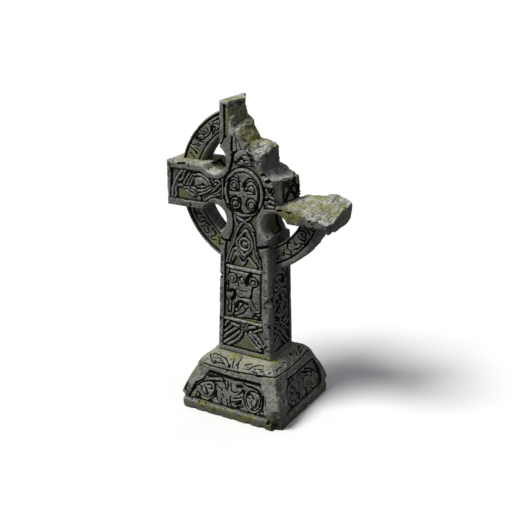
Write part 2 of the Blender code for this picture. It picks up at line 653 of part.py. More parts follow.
def side_shapes():
    """Arch round a curl, three scrolls and crossed straps, on the shaft's right side."""
    width = 0.9 * STRAND_WIDTH
    arch = SIDE((-0.85, 0.66), (-0.84, 0.81), (-0.74, 0.88), (-0.45, 0.935), (-0.04, 0.95), (0.38, 0.925),
                (0.70, 0.85), (0.82, 0.72), (0.84, 0.57))
    shapes = ribbon(arch, width)
    for (cy, cz), start, turns in zip(SIDE((0.30, 0.79), (-0.10, 0.60), (-0.36, 0.45), (0.46, 0.47)),
                                      (200, 150, 60, 240), (1.6, -1.4, 1.3, -1.3)):
        shapes += ribbon(spiral(cy, cz, 0.31 * SIDE_HALF, 0.07 * SIDE_HALF, start, turns, 9), 0.8 * STRAND_WIDTH)
    rise = SIDE((-0.84, 0.03), (-0.06, 0.165), (0.81, 0.32))
    fall = SIDE((-0.84, 0.32), (-0.06, 0.185), (0.81, 0.03))
    low = SIDE((-0.84, 0.176), (-0.06, 0.045), (0.81, 0.176), (-0.01, 0.34), (-0.84, 0.176))
    return shapes + ribbons(woven([rise, fall, low], STRAND_WIDTH), width)


def back_shapes():
    plain = ribbon(closed_arc(0, HEAD_LEVEL, BACK_RING, BACK_RING, 18), STRAND_WIDTH)
    reach = SHAFT_FIELD + 0.014
    for z in BARS:
        plain += ribbon([(-reach, z), (reach, z)], BAR_HEIGHT)
    return plain


def carve_cross(body):
    for group in (medallion_shapes(), neck_shapes() + bars_shapes(), leaf_shapes(), left_arm_shapes(),
                  top_arm_shapes() + right_root_shapes()):
        join(body, islands("front_relief", FRONT_FACE, group, STRAND_ROOT, STRAND_TOP))
    join(body, islands("scene_relief", FRONT_FACE, scene_shapes(), STRAND_ROOT, STRAND_TOP - 0.003))
    join(body, islands("roundels", FRONT_FACE, roundel_shapes(), STRAND_ROOT, STRAND_TOP + 0.001))
    join(body, islands("wheel_relief", WHEEL_FACE, wheel_shapes(), -WHEEL_FIELD_DEPTH - BED, CREST))
    join(body, islands("side_relief", RIGHT_FACE, side_shapes(), -SIDE_FIELD_DEPTH - BED, CREST))
    join(body, islands("back_relief", BACK_FACE, back_shapes(), -BACK_FIELD_DEPTH - BED, CREST + 0.001))


# What is lost from the cross
def break_cutter():
    quarter = (0.5 * (FRONT + BREAK_MID), 0.5 * (BACK + BREAK_MID))
    stations = ((FRONT - 0.03, 0.0), (FRONT, 0.0), (quarter[0], 0.5), (BREAK_MID, 1.0), (quarter[1], 1.5),
                (BACK, 2.0), (BACK + 0.03, 2.0))
    rows = []
    for k, (y, along) in enumerate(stations):
        low, part = min(int(along), 1), along - min(int(along), 1)
        row = []
        for n, step in enumerate(BREAK_STEPS):
            rough = BREAK_SWAY * math.sin(2.7 * n + 1.9 * k) if part == 0.5 else 0.0
            (x0, z0), (x1, z1) = step[low], step[low + 1]
            row.append((x0 + (x1 - x0) * part + 0.3 * rough, y, z0 + (z1 - z0) * part + rough))
        rows.append(row)
    tops = [[(x, y, BREAK_TOP + 0.001 * n) for n, (x, y, z) in enumerate(row)] for row in rows]

    def edit(bm):
        low = [[bm.verts.new(p) for p in row] for row in rows]
        high = [[bm.verts.new(p) for p in row] for row in tops]
        last = len(BREAK_STEPS) - 1
        for k in range(len(rows) - 1):
            for n in range(last):
                for grid in (low, high):
                    a, b, c, d = grid[k][n], grid[k][n + 1], grid[k + 1][n + 1], grid[k + 1][n]
                    bm.faces.new((a, b, c))
                    bm.faces.new((a, c, d))
            for n in (0, last):
                bm.faces.new((low[k][n], low[k + 1][n], high[k + 1][n], high[k][n]))
        for k in (0, len(rows) - 1):
            bm.faces.new(low[k] + list(reversed(high[k])))
    return new_object("break", edit)


def wedge(name, corners, front, back):
    return loft(name, [[(x, y, z) for x, z in corners] for y in (front, back)])


def end_shapes():
    """Knotwork left on the block beside the head, on its right end."""
    lines = [END((-0.93, 0.12), (-0.23, 0.56), (0.33, 0.92)), END((-0.83, 0.76), (-0.17, 0.30), (0.43, 0.06)),
             END((0.90, 0.16), (0.23, 0.50), (-0.33, 0.92)), END((0.97, 0.66), (0.33, 0.34), (-0.10, 0.06))]
    return ribbons(woven(lines, STRAND_WIDTH), 0.9 * STRAND_WIDTH)


def weather_cross(body):
    cut(body, break_cutter())
    end_face = frame((END_FACE, 0, 0), (0, 1, 0), (0, 0, 1))
    join(body, islands("end_relief", end_face, end_shapes(), STRAND_ROOT, BED))
    clear = 0.020
    for sx, z, deep, high in CHIPS:
        x = sx * shaft_half(z)
        corners = [(x - sx * deep, z), (x + sx * clear, z - high), (x + sx * clear, z + high)]
        cut(body, wedge("chip", corners, FRONT - clear, FRONT + CHIP_BACK))
    # Worn joints that cross the corner rolls under the head
    for sx in (-1, 1):
        x0, x1 = sx * (SHAFT_FIELD - 0.002), sx * (SHAFT_HALF_AT_NECK + clear)
        low, high = JOINT_LEVEL - JOINT_WIDTH, JOINT_LEVEL + 0.1 * JOINT_WIDTH
        corners = [(x0, low), (x1, low + 0.9 * JOINT_WIDTH), (x1, high + 0.9 * JOINT_WIDTH), (x0, high)]
        cut(body, wedge("joint", corners, FRONT - clear, FRONT + FIELD_DEPTH))


# Plinth
def plinth_ring(z, inset):
    half_w, half_d = PLINTH_HALF_WIDTH - inset, PLINTH_HALF_DEPTH - inset
    out = []
    for sx, sy, start in ((1, 1, 0), (-1, 1, 90), (-1, -1, 180), (1, -1, 270)):
        cx, cy = sx * (half_w - PLINTH_CORNER), sy * (half_d - PLINTH_CORNER)
        out += [(x, y, z) for x, y in arc(cx, cy, PLINTH_CORNER, PLINTH_CORNER, start, start + 90, 2)]
    return out


def panel_frame(half, u_axis, outward):
    """A leaning plane through a plinth side's panel, v measured up from the plinth's underside."""
    rise = PANEL_HIGH - PANEL_LOW
    back = PANEL_HIGH_IN - PANEL_LOW_IN
    out = Vector(outward)
    up = Vector((0, 0, rise)) - out * back
    base = out * (half - PANEL_LOW_IN) + Vector((0, 0, PANEL_LOW))
    fr = frame(base, u_axis, up)
    return fr[0] - fr[2] * (PANEL_LOW * up.length / rise), fr[1], fr[2], fr[3]


PLINTH_FRONT = panel_frame(PLINTH_HALF_DEPTH, (1, 0, 0), (0, -1, 0))
PLINTH_RIGHT = panel_frame(PLINTH_HALF_WIDTH, (0, 1, 0), (1, 0, 0))
PLINTH_BACK = panel_frame(PLINTH_HALF_DEPTH, (-1, 0, 0), (0, 1, 0))
PLINTH_LEFT = panel_frame(PLINTH_HALF_WIDTH, (0, -1, 0), (-1, 0, 0))


def slope_frame(half, u_axis, outward):
    """The plane of the sloping top over one side of the plinth, and its length up the slope."""
    (low, low_in), (high, high_in) = PLINTH_PROFILE[SLOPE_LOW], PLINTH_PROFILE[SLOPE_HIGH]
    out = Vector(outward)
    up = Vector((0, 0, high - low)) - out * (high_in - low_in)
    return frame(out * (half - low_in) + Vector((0, 0, low)), u_axis, up), up.length


def plinth_front_shapes():
    """Round scroll, a leafy stem and a loop with curls."""
    w = PLINTH_STRAND
    scroll, scroll_eye, loop, curl_high, curl_low = PLINTH_PANEL(
        (-0.63, 0.40), (-0.63, 0.455), (0.52, 0.45), (0.45, 0.56), (0.57, 0.37))
    shapes = ribbon(arc(*scroll, 0.052, 0.050, 80, -190, 14), w)
    shapes += ribbon(spiral(*scroll_eye, 0.030, 0.007, 40, -1.3, 9), 0.7 * w)
    shapes += ribbons([
        PLINTH_PANEL((-1.02, 0.08), (-0.90, 0.50), (-0.60, 0.79), (-0.27, 0.85), (-0.20, 0.66)),
        PLINTH_PANEL((-0.41, 0.70), (-0.375, 0.54), (-0.39, 0.39), (-0.36, 0.22), (-0.27, 0.12), (-0.16, 0.08)),
        PLINTH_PANEL((-0.32, 0.62), (-0.235, 0.46), (-0.28, 0.33), (-0.19, 0.22)),
        PLINTH_PANEL((-0.10, 0.93), (-0.09, 0.64), (-0.07, 0.38), (-0.055, 0.08)),
        PLINTH_PANEL((0.00, 0.39), (0.22, 0.50)), PLINTH_PANEL((0.00, 0.10), (0.20, 0.16), (0.29, 0.24)),
        PLINTH_PANEL((0.62, 0.91), (0.75, 0.80), (0.80, 0.58), (0.815, 0.38), (0.815, 0.17), (0.83, 0.07)),
    ], 0.8 * w)
    for root, angle, length, width in (((-0.03, 0.22), 40, 0.30, 0.09), ((-0.03, 0.74), 20, 0.22, 0.10),
                                       ((0.02, 0.62), 32, 0.26, 0.10)):
        shapes.append(leaf(PLINTH_PANEL(root)[0], angle, length * PANEL_HALF_LOW, width * PANEL_HALF_LOW))
    shapes += ribbon(closed_arc(*loop, 0.050, 0.056, 15), w)
    shapes += ribbon(spiral(*curl_high, 0.021, 0.006, 250, 1.1, 7), 0.65 * w)
    shapes += ribbon(spiral(*curl_low, 0.021, 0.006, 70, 1.1, 7), 0.65 * w)
    return shapes


def plinth_right_shapes():
    """Pointed loop round a boss, a leaning double bar and a hooked scroll."""
    w = PLINTH_STRAND
    loop = PLINTH_SIDE((-0.86, 0.11), (-0.71, 0.50), (-0.53, 0.83), (-0.34, 0.94), (-0.31, 0.63), (-0.42, 0.32),
                       (-0.63, 0.13), (-0.86, 0.11))
    shapes = ribbons([loop, PLINTH_SIDE((-0.10, 0.10), (0.00, 0.50), (0.07, 0.93)),
                      PLINTH_SIDE((0.08, 0.10), (0.16, 0.50), (0.22, 0.93)),
                      PLINTH_SIDE((0.34, 0.90), (0.50, 0.85), (0.66, 0.76)),
                      PLINTH_SIDE((0.33, 0.72), (0.49, 0.68), (0.62, 0.58), (0.60, 0.48), (0.50, 0.47)),
                      PLINTH_SIDE((0.36, 0.38), (0.44, 0.20), (0.55, 0.10), (0.66, 0.13), (0.73, 0.30))], 0.85 * w)
    return shapes + [closed_arc(*PLINTH_SIDE((-0.52, 0.52))[0], 0.018, 0.026, 8)[:-1]]


def cut_slopes(body):
    """Thin cut lines on the sloping top, to the front and the right: pointed ovals, strokes and a wave."""
    for half, across, u_axis, outward, eyes, strokes, wave in (
        (PLINTH_HALF_DEPTH, PLINTH_HALF_WIDTH, (1, 0, 0), (0, -1, 0), ((-0.34, 0.21), (0.36, 0.19)),
         ((-0.10, 0.03), (0.01, 0.02), (0.14, 0.07)), ((0.50, 0.15), (0.58, 0.40), (0.66, 0.20), (0.72, 0.50))),
        (PLINTH_HALF_WIDTH, PLINTH_HALF_DEPTH, (0, 1, 0), (1, 0, 0), ((0.42, 0.17), (-0.45, 0.13)),
         ((-0.06, 0.02), (0.08, -0.04), (0.13, 0.03)), ((-0.70, 0.50), (-0.66, 0.20), (-0.58, 0.12))),
    ):
        plane, length = slope_frame(half, u_axis, outward)
        slope = panel(0.0, across, 0.0, length)
        lines = [slope((u, 0.12), (u + lean, 0.92)) for u, lean in strokes] + [slope(*wave)]
        for u, reach in eyes:
            lines.append(slope((u - reach, 0.50), (u, 0.86), (u + reach, 0.50), (u, 0.16), (u - reach, 0.50)))
        cut(body, islands("strokes", plane, ribbons(lines, SLOPE_STROKE), -SLOPE_CUT, PROUD))


def plinth():
    body = loft("plinth", [plinth_ring(z, inset) for z, inset in PLINTH_PROFILE])
    for k, (fr, low_half, high_half, shift) in enumerate((
        (PLINTH_FRONT, PANEL_HALF_LOW, PANEL_HALF_HIGH, FRONT_PANEL_SHIFT),
        (PLINTH_RIGHT, SIDE_PANEL_HALF_LOW, SIDE_PANEL_HALF_HIGH, 0.0),
        (PLINTH_BACK, PANEL_HALF_LOW, PANEL_HALF_HIGH, 0.0),
        (PLINTH_LEFT, SIDE_PANEL_HALF_LOW, SIDE_PANEL_HALF_HIGH, 0.0),
    )):
        corners = [(shift - low_half, PANEL_LOW), (shift + low_half, PANEL_LOW), (high_half, PANEL_HIGH),
                   (-high_half, PANEL_HIGH)]
        cut(body, prism(f"field_{k}", fr, corners, -PLINTH_FIELD_DEPTH, PROUD))
    bed = -PLINTH_FIELD_DEPTH - BED
    join(body, islands("plinth_front", PLINTH_FRONT, plinth_front_shapes(), bed, PLINTH_RELIEF))
    join(body, islands("plinth_right", PLINTH_RIGHT, plinth_right_shapes(), bed, PLINTH_RELIEF))
    plain = ribbon(closed_arc(0, 0.5 * (PANEL_LOW + PANEL_HIGH), PLAIN_RING, PLAIN_RING, 14), PLINTH_STRAND)
    join(body, islands("plinth_back", PLINTH_BACK, plain, bed, BED))
    join(body, islands("plinth_left", PLINTH_LEFT, plain, bed, BED))
    cut_slopes(body)
    # Lost corner at the front right of the foot, leaning in a little as it rises
    x, y = PLINTH_HALF_WIDTH, -PLINTH_HALF_DEPTH
    corner = [(x - LOST_CORNER, y - 0.02), (x + 0.02, y - 0.02), (x + 0.02, y + LOST_CORNER)]
    cut(body, loft("lost_corner", [[(a - lean, b + lean, z) for a, b in corner]
                                   for z, lean in ((-0.01, 0.0), (LOST_CORNER_TOP, 0.008))]))
    return body


def finish(obj, color, roughness):
    material = bpy.data.materials.new(obj.name + "_stone")
    material.use_nodes = True
    shader = material.node_tree.nodes["Principled BSDF"]
    shader.inputs["Base Color"].default_value = (*color, 1.0)
    shader.inputs["Roughness"].default_value = roughness
    obj.data.materials.clear()
    obj.data.materials.append(material)
    for polygon in obj.data.polygons:
        polygon.material_index = 0


def main():
    clear_scene()
    body = cross_body()
    add_stump(body)
    sink_fields(body)
    add_wheel(body)
    carve_cross(body)
    weather_cross(body)
    finish(body, (0.34, 0.34, 0.31), 0.9)
    base = plinth()
    finish(base, (0.31, 0.32, 0.29), 0.9)


main()
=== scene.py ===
import math

import bmesh
import bpy
import numpy as np
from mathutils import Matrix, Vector
from mathutils.geometry import delaunay_2d_cdt


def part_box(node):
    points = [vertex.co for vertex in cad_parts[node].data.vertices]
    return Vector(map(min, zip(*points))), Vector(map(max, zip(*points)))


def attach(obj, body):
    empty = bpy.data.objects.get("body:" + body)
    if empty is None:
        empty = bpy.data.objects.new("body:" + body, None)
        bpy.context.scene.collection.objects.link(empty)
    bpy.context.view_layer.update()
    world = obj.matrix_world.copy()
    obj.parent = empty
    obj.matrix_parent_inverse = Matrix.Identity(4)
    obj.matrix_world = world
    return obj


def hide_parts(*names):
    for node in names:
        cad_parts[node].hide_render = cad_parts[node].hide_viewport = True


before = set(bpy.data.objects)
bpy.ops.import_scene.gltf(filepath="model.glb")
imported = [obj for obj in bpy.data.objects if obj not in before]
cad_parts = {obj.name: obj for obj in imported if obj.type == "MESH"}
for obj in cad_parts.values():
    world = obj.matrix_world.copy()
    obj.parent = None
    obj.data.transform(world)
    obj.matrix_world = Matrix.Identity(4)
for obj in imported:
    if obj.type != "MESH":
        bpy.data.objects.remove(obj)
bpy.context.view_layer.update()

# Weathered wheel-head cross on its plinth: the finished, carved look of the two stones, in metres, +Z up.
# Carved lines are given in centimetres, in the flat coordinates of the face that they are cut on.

CM = 0.01

# Sizes of the stone
TOTAL_HEIGHT = 1.600
FOOT = 0.2983
FRONT, BACK = -0.125, 0.118
FOOT_HALF, NECK_HALF, NECK_LEVEL = 0.157, 0.136, 0.935
ARM_REACH, ARM_BOTTOM, ARM_TOP = 0.4505, 1.040, 1.272
HEAD_LEVEL, TOP_HALF = 1.160, 0.135
PIT_X, PIT_Z, PIT_R = 0.172, 0.150, 0.072
WHEEL_IN, WHEEL_OUT, WHEEL_Y = 0.300, 0.416, 0.050
FIELD_DEPTH = 1.15
ROUND_FRONT, ROUND_BACK = 0.013, 0.016
END_STEP = 11
PLINTH_W, PLINTH_D, PLINTH_TOP = 0.288, 0.272, 0.298
PROFILE = (
    (0, 0), (0.046, 0), (0.052, 0.006), (0.086, -0.002), (0.12, 0.008), (0.165, 0.025), (0.198, 0.042),
    (0.226, 0.055), (0.25, 0.064), (0.272, 0.079), (0.287, 0.1), (PLINTH_TOP, 0.128),
)
PANEL_LOW, PANEL_HIGH, PANEL_IN_LOW, PANEL_IN_HIGH = 0.062, 0.216, 0.005, 0.050
PANEL_END, SLOPE_FOOT = 0.232, 0.250
# The plinth's rounded corner: its radius, and the parts of it before and after 45 degrees
CORNER = 0.014
CORNER_CUT, CORNER_LEFT = CORNER * 0.29, CORNER * 0.71
RIM_STEP = 0.0075

# How fine the meshes are
ALONG = 0.0042
GRAIN = 0.0062

# The broken edge: each step as (x, z) at the front, the middle and the back
BREAK_STEPS = (
    ((-0.08, 1.8), (-0.062, 1.8), (-0.134, 1.8)), ((-0.07, 1.56), (-0.061, 1.56), (-0.13, 1.56)),
    ((-0.06, 1.475), (-0.056, 1.505), (-0.112, 1.498)), ((-0.042, 1.46), (-0.016, 1.498), (-0.082, 1.472)),
    ((-0.03, 1.445), (-0.012, 1.466), (-0.076, 1.443)), ((0.01, 1.39), (0.02, 1.412), (-0.042, 1.384)),
    ((0.04, 1.352), (0.056, 1.406), (0, 1.378)), ((0.085, 1.372), (0.092, 1.4), (0.048, 1.365)),
    ((0.104, 1.364), (0.116, 1.386), (0.064, 1.35)), ((0.11, 1.29), (0.12, 1.305), (0.067, 1.274)),
    ((0.146, 1.264), (0.165, 1.266), (0.14, 1.252)), ((0.158, 1.232), (0.189, 1.238), (0.178, 1.212)),
    ((0.172, 1.112), (0.193, 1.12), (0.184, 1.112)), ((0.27, 1.102), (0.28, 1.132), (0.286, 1.133)),
    ((0.345, 1.086), (0.36, 1.132), (0.396, 1.152)), ((0.5, 1.06), (0.5, 1.096), (0.5, 1.108)),
)


# Noise that is the same on every run
def lattice(ix, iy, iz, seed):
    """A value from -1 to 1 for each whole-numbered place."""
    n = (ix * 374761393 + iy * 668265263 + iz * 1442695041 + seed * 974634777) & 0xFFFFFFFF
    n = ((n ^ (n >> 13)) * 1274126177) & 0xFFFFFFFF
    return ((n ^ (n >> 16)) & 0xFFFF) / 32767.5 - 1.0


def noise(points, size, seed):
    """Smooth values from -1 to 1 at points in space."""
    q = np.asarray(points, float) / size
    i = np.floor(q).astype(np.int64)
    f = q - i
    f = f * f * (3.0 - 2.0 * f)
    out = np.zeros(len(q))
    for dx in (0, 1):
        for dy in (0, 1):
            for dz in (0, 1):
                weight = (f[:, 0] if dx else 1 - f[:, 0]) * (f[:, 1] if dy else 1 - f[:, 1])
                weight = weight * (f[:, 2] if dz else 1 - f[:, 2])
                out += weight * lattice(i[:, 0] + dx, i[:, 1] + dy, i[:, 2] + dz, seed)
    return out


def rough(points, size, octaves, seed):
    """Noise in a few octaves, each half the size of the last."""
    out, scale = np.zeros(len(points)), 1.0
    for k in range(octaves):
        out += scale * noise(points, size * 0.5**k, seed + 17 * k)
        scale *= 0.55
    return out


# Curves
def pairs(flat):
    return [(flat[i], flat[i + 1]) for i in range(0, len(flat), 2)]


def closed(points):
    return np.concatenate([points, points[:1]])


def ell(cx, cz, rx, rz=None, start=0.0, end=360.0, steps=None):
    """Points on an ellipse as a flat list."""
    rz = rx if rz is None else rz
    steps = steps or max(5, int(abs(end - start) / 24))
    out = []
    for i in range(steps + 1):
        a = math.radians(start + (end - start) * i / steps)
        out += [cx + rx * math.cos(a), cz + rz * math.sin(a)]
    return out


def curl(cx, cz, r0, r1, start, turns):
    """Points on a spiral as a flat list."""
    out = []
    steps = max(8, int(abs(turns) * 16))
    for i in range(steps + 1):
        t = i / steps
        a, r = math.radians(start + 360 * turns * t), r0 + (r1 - r0) * t
        out += [cx + r * math.cos(a), cz + r * math.sin(a)]
    return out


def spaced(points, step):
    """The line with points at a steady spacing, ends kept."""
    p = np.asarray(points, float)
    gaps = np.hypot(*(p[1:] - p[:-1]).T)
    at = np.concatenate([[0.0], np.cumsum(gaps)])
    n = max(1, int(round(at[-1] / step)))
    s = np.linspace(0.0, at[-1], n + 1)
    return np.stack([np.interp(s, at, p[:, 0]), np.interp(s, at, p[:, 1])], axis=1)


def flowing(flat):
    """A smooth line in metres through points given in centimetres."""
    p = np.asarray(pairs(flat), float) * CM
    shut = len(p) > 3 and np.hypot(*(p[0] - p[-1])) < 1e-6
    if len(p) > 2:
        before = p[-2] if shut else 2 * p[0] - p[1]
        after = p[1] if shut else 2 * p[-1] - p[-2]
        q = np.concatenate([[before], p, [after]])
        out = []
        for i in range(1, len(q) - 2):
            for k in range(6):
                t = k / 6
                out.append(0.5 * (2 * q[i] + (q[i + 1] - q[i - 1]) * t
                                  + (2 * q[i - 1] - 5 * q[i] + 4 * q[i + 1] - q[i + 2]) * t * t
                                  + (3 * q[i] - q[i - 1] - 3 * q[i + 1] + q[i + 2]) * t**3))
        out.append(q[-2])
        p = np.array(out)
    return spaced(p, ALONG)


def distance(points, line):
    """How far each point is from a line."""
    best = np.full(len(points), 1e9)
    for a, b in zip(line[:-1], line[1:]):
        d = b - a
        t = np.clip(((points - a) @ d) / max(d @ d, 1e-12), 0.0, 1.0)
        gap = points - a - t[:, None] * d
        best = np.minimum(best, gap[:, 0]**2 + gap[:, 1]**2)
    return np.sqrt(best)


def inside(points, loop):
    x, z = points[:, 0], points[:, 1]
    odd = np.zeros(len(points), bool)
    for (x0, z0), (x1, z1) in zip(loop, np.roll(loop, -1, axis=0)):
        if z0 == z1:
            continue
        hit = (z0 > z) != (z1 > z)
        odd ^= hit & (x < (x1 - x0) * (z - z0) / (z1 - z0) + x0)
    return odd


def depth_inside(points, loop):
    """How far inside the loop each point is, below 0 outside it."""
    d = distance(points, closed(loop))
    return np.where(inside(points, loop), d, -d)


def ramp(value, low, high):
    """0 up to low, rising smoothly to 1 from high."""
    t = np.clip((value - low) / (high - low), 0.0, 1.0)
    return t * t * (3 - 2 * t)


class Relief:
    """Carving on one flat face, cut in the order that it is listed.

    Lengths are in centimetres. Each cut takes its measures first, and then any number of lines, each a flat
    list of places on the face.
    """

    def __init__(self):
        self.cuts = []

    def cut(self, kind, half, size, lines):
        for line in lines:
            points = flowing(line) if kind in ("ridge", "groove") else np.array(pairs(line)) * CM
            self.cuts.append((kind, half * CM, size * CM, points))

    def field(self, deep, *lines):
        """A sunk field whose floor gathers moss."""
        self.cut("field", 0.0, deep, lines)

    def sunk(self, deep, *lines):
        """A sunk field whose floor stays as grey as the face."""
        self.cut("sunk", 0.0, deep, lines)

    def plate(self, high, *lines):
        """A flat piece set at a height over the face, or under it."""
        self.cut("plate", 0.0, high, lines)

    def ridge(self, half, high, *lines):
        """A rounded strand of a half width, its top at a height."""
        self.cut("ridge", half, high, lines)

    def groove(self, half, deep, *lines):
        self.cut("groove", 1.3 * half, 1.25 * deep, lines)

    def worn(self, size, amount, *lines):
        """Lumpy ground inside a line."""
        self.cut("worn", size, amount, lines)

    def dome(self, radius, high, *lines):
        self.cut("dome", radius, high, lines)

    def pit(self, radius, deep, *lines):
        self.cut("pit", radius, deep, lines)

    def samples(self):
        """Points that follow every line, so that the mesh bends where the carving does."""
        out = []
        for kind, half, _, line in self.cuts:
            if kind == "worn":
                continue
            if kind in ("field", "plate", "sunk"):
                shut = spaced(closed(line), ALONG)
                out += [shifted(shut, off) for off in (0.0, 0.0026, -0.0018)]
            elif kind in ("dome", "pit"):
                out.append(line)
                for r in (0.55, 1.0):
                    n = max(6, int(2 * math.pi * half * r / ALONG))
                    a = np.arange(n) * 2 * math.pi / n
                    out.append(line + half * r * np.stack([np.cos(a), np.sin(a)], axis=1))
            else:
                offs = (half * 0.62, half * 0.97, half + 0.0020, half + 0.0048)
                if kind == "groove":
                    offs = (half * 0.70, half * 1.35)
                out.append(line)
                out += [shifted(line, side * off) for off in offs for side in (1, -1)]
        return out

    def height(self, points):
        """Height over the face, how deep in a crease, and how open a floor each point is."""
        h, crease, floor = (np.zeros(len(points)) for _ in range(3))
        for kind, half, size, line in self.cuts:
            reach = half + 0.012
            low, high = line.min(axis=0) - reach, line.max(axis=0) + reach
            at = np.nonzero(((points > low) & (points < high)).all(axis=1))[0]
            if not len(at):
                continue
            p = points[at]
            if kind == "worn":
                t = ramp(np.where(inside(p, line), distance(p, closed(line)), 0.0), 0.0, 0.006)
                lumps = rough(np.stack([p[:, 0], p[:, 1], p[:, 0] * 0.0], axis=1), half, 3, 57)
                h[at] += size * t * lumps
                crease[at] = np.maximum(crease[at], 0.8 * t * ramp(-lumps, 0.35, 0.8))
                continue
            if kind in ("field", "plate", "sunk"):
                d = depth_inside(p, line)
                if kind != "plate":
                    t = ramp(d, -0.0005, 0.0026)
                    moat = np.clip(1.5 - 1.5 * np.abs(d - 0.0028) / 0.0038, 0, 1)
                    h[at] = np.minimum(h[at], -size * t - 0.0018 * moat)
                    crease[at] = np.maximum(crease[at], moat)
                    share = 1.0 if kind == "field" else 0.22
                    floor[at] = np.maximum(floor[at], ramp(d, 0.001, 0.006) * share)
                else:
                    t = ramp(d, -0.0022, 0.0022)
                    moat = np.clip(1 - np.abs(d + 0.0026) / 0.0028, 0, 1)
                    h[at] = h[at] * (1 - t) + size * t - 0.0030 * moat
                    crease[at] = np.maximum(crease[at] * (1 - ramp(d, -0.001, 0.002)), 0.9 * moat)
                    floor[at] *= 1 - t
                continue
            if kind in ("dome", "pit"):
                d = np.hypot(*(p - line[0]).T)
                t = np.clip(1 - (d / half)**2, 0, 1)
                h[at] += size * t if kind == "dome" else -size * t
                if kind == "pit":
                    crease[at] = np.maximum(crease[at], t)
                continue
            d = distance(p, line)
            if kind == "groove":
                h[at] -= size * np.clip(1 - (d / (1.2 * half))**2, 0, 1)
                crease[at] = np.maximum(crease[at], np.clip((1.35 - d / half) / 0.60, 0, 1))
                continue
            over = d < half
            crown = size - 0.42 * half * (1 - np.sqrt(np.clip(1 - (d / half)**2, 0, 1)))
            moat = np.clip(1.6 - 1.6 * np.abs(d - half - 0.0022) / 0.0040, 0, 1)
            h[at] = np.where(over, np.maximum(h[at], crown), h[at] - 0.0048 * moat)
            crease[at] = np.where(over, np.minimum(crease[at], ramp(d / half, 0.82, 1.0) * 0.7),
                                  np.maximum(crease[at], moat))
            floor[at] = np.where(over, 0.0, floor[at])
        return h, crease, floor


def shifted(line, off):
    """The line moved sideways."""
    if off == 0.0 or len(line) < 2:
        return line
    d = np.gradient(line, axis=0)
    n = np.stack([-d[:, 1], d[:, 0]], axis=1)
    return line + off * n / np.maximum(np.hypot(n[:, 0], n[:, 1]), 1e-9)[:, None]


def thinned(groups, gap):
    """Keeps the points of each group that no earlier point is near."""
    cells, kept = {}, []
    for points, near in groups:
        for x, z in points:
            i, k = int(math.floor(x / gap)), int(math.floor(z / gap))
            reach = int(math.ceil(near / gap))
            close = False
            for a in range(i - reach, i + reach + 1):
                for b in range(k - reach, k + reach + 1):
                    for ox, oz in cells.get((a, b), ()):
                        if (ox - x)**2 + (oz - z)**2 < near * near:
                            close = True
                            break
                    if close:
                        break
                if close:
                    break
            if not close:
                cells.setdefault((i, k), []).append((x, z))
                kept.append((x, z))
    return kept


def flat_mesh(loop, relief, grain, seed, rows=(0.0014, 0.0042, 0.0085, 0.0135)):
    """Triangles inside a loop: (points, triangles), the first points being the loop's own."""
    loop = np.asarray(loop, float)
    shut = closed(loop)
    none = [np.zeros((0, 2))]
    carved = np.concatenate(none + (relief.samples() if relief else []))
    rng = np.random.default_rng(seed)
    low, high = loop.min(axis=0), loop.max(axis=0)
    gx, gz = np.meshgrid(np.arange(low[0], high[0], grain), np.arange(low[1], high[1], grain * 0.87))
    gx = gx + (np.arange(gx.shape[0]) % 2)[:, None] * grain * 0.5
    grid = np.stack([gx.ravel(), gz.ravel()], axis=1)
    grid += rng.uniform(-0.18, 0.18, grid.shape) * grain
    borders = np.concatenate(none + [shifted(shut, side * off) for off in rows for side in (1, -1)])
    borders += rng.uniform(-0.0002, 0.0002, borders.shape)
    groups = [(loop, 1e-6)]
    for points, near, margin in (
        (carved, 0.0013, 0.0012), (borders, 0.0028, 0.0011), (grid, grain * 0.58, 0.002),
    ):
        points = points[inside(points, loop)]
        groups.append((points[distance(points, shut) > margin], near))
    kept = thinned(groups, 0.003)
    n = len(loop)
    verts = [Vector(p) for p in kept]
    edges = [(i, (i + 1) % n) for i in range(n)]
    flat, _, faces, *_ = delaunay_2d_cdt(verts, edges, [], 1, 1e-7)
    tris = [(f[0], f[k], f[k + 1]) for f in faces for k in range(1, len(f) - 1)]
    return np.array([(v.x, v.y) for v in flat]), np.array(tris)


def height_of(relief, flat):
    """Height, crease and floor of a face that may be uncarved."""
    return relief.height(flat) if relief else (np.zeros(len(flat)),) * 3


def quarter(d, radius):
    """How far a rounded edge falls away at distance d from the edge."""
    t = np.clip(1 - d / radius, 0, 1)
    return radius * (1 - np.sqrt(np.clip(1 - t * t, 0, 1)))


class Shell:
    """Sheets of triangles welded into one closed mesh, with how creased and how open each point is."""

    def __init__(self):
        self.points, self.marks, self.tris, self.count = [], [], [], 0

    def add(self, points, tris, crease=0.0, floor=0.0):
        n = len(points)
        marks = np.zeros((n, 4))
        marks[:, 0], marks[:, 1], marks[:, 3] = crease, floor, 1.0
        self.points.append(np.asarray(points, float))
        self.marks.append(marks)
        self.tris.append(np.asarray(tris) + self.count)
        self.count += n

    def build(self, name):
        points, marks, tris = (np.concatenate(part) for part in (self.points, self.marks, self.tris))
        _, first, index = np.unique(np.round(points, 5), axis=0, return_index=True, return_inverse=True)
        tris = index.reshape(-1)[tris]
        good = (tris[:, 0] != tris[:, 1]) & (tris[:, 1] != tris[:, 2]) & (tris[:, 0] != tris[:, 2])
        return mesh_object(name, points[first], tris[good], marks[first])


def add_object(name, mesh):
    obj = bpy.data.objects.new(name, mesh)
    bpy.context.scene.collection.objects.link(obj)
    return obj


def values(items, key, width):
    """One attribute of every item of a mesh, as rows."""
    out = np.empty(len(items) * width, np.float32 if key == "color" else np.float64)
    items.foreach_get(key, out)
    return out.reshape(-1, width)


def coords(mesh):
    return values(mesh.vertices, "co", 3)


def normals(mesh):
    return values(mesh.vertices, "normal", 3)


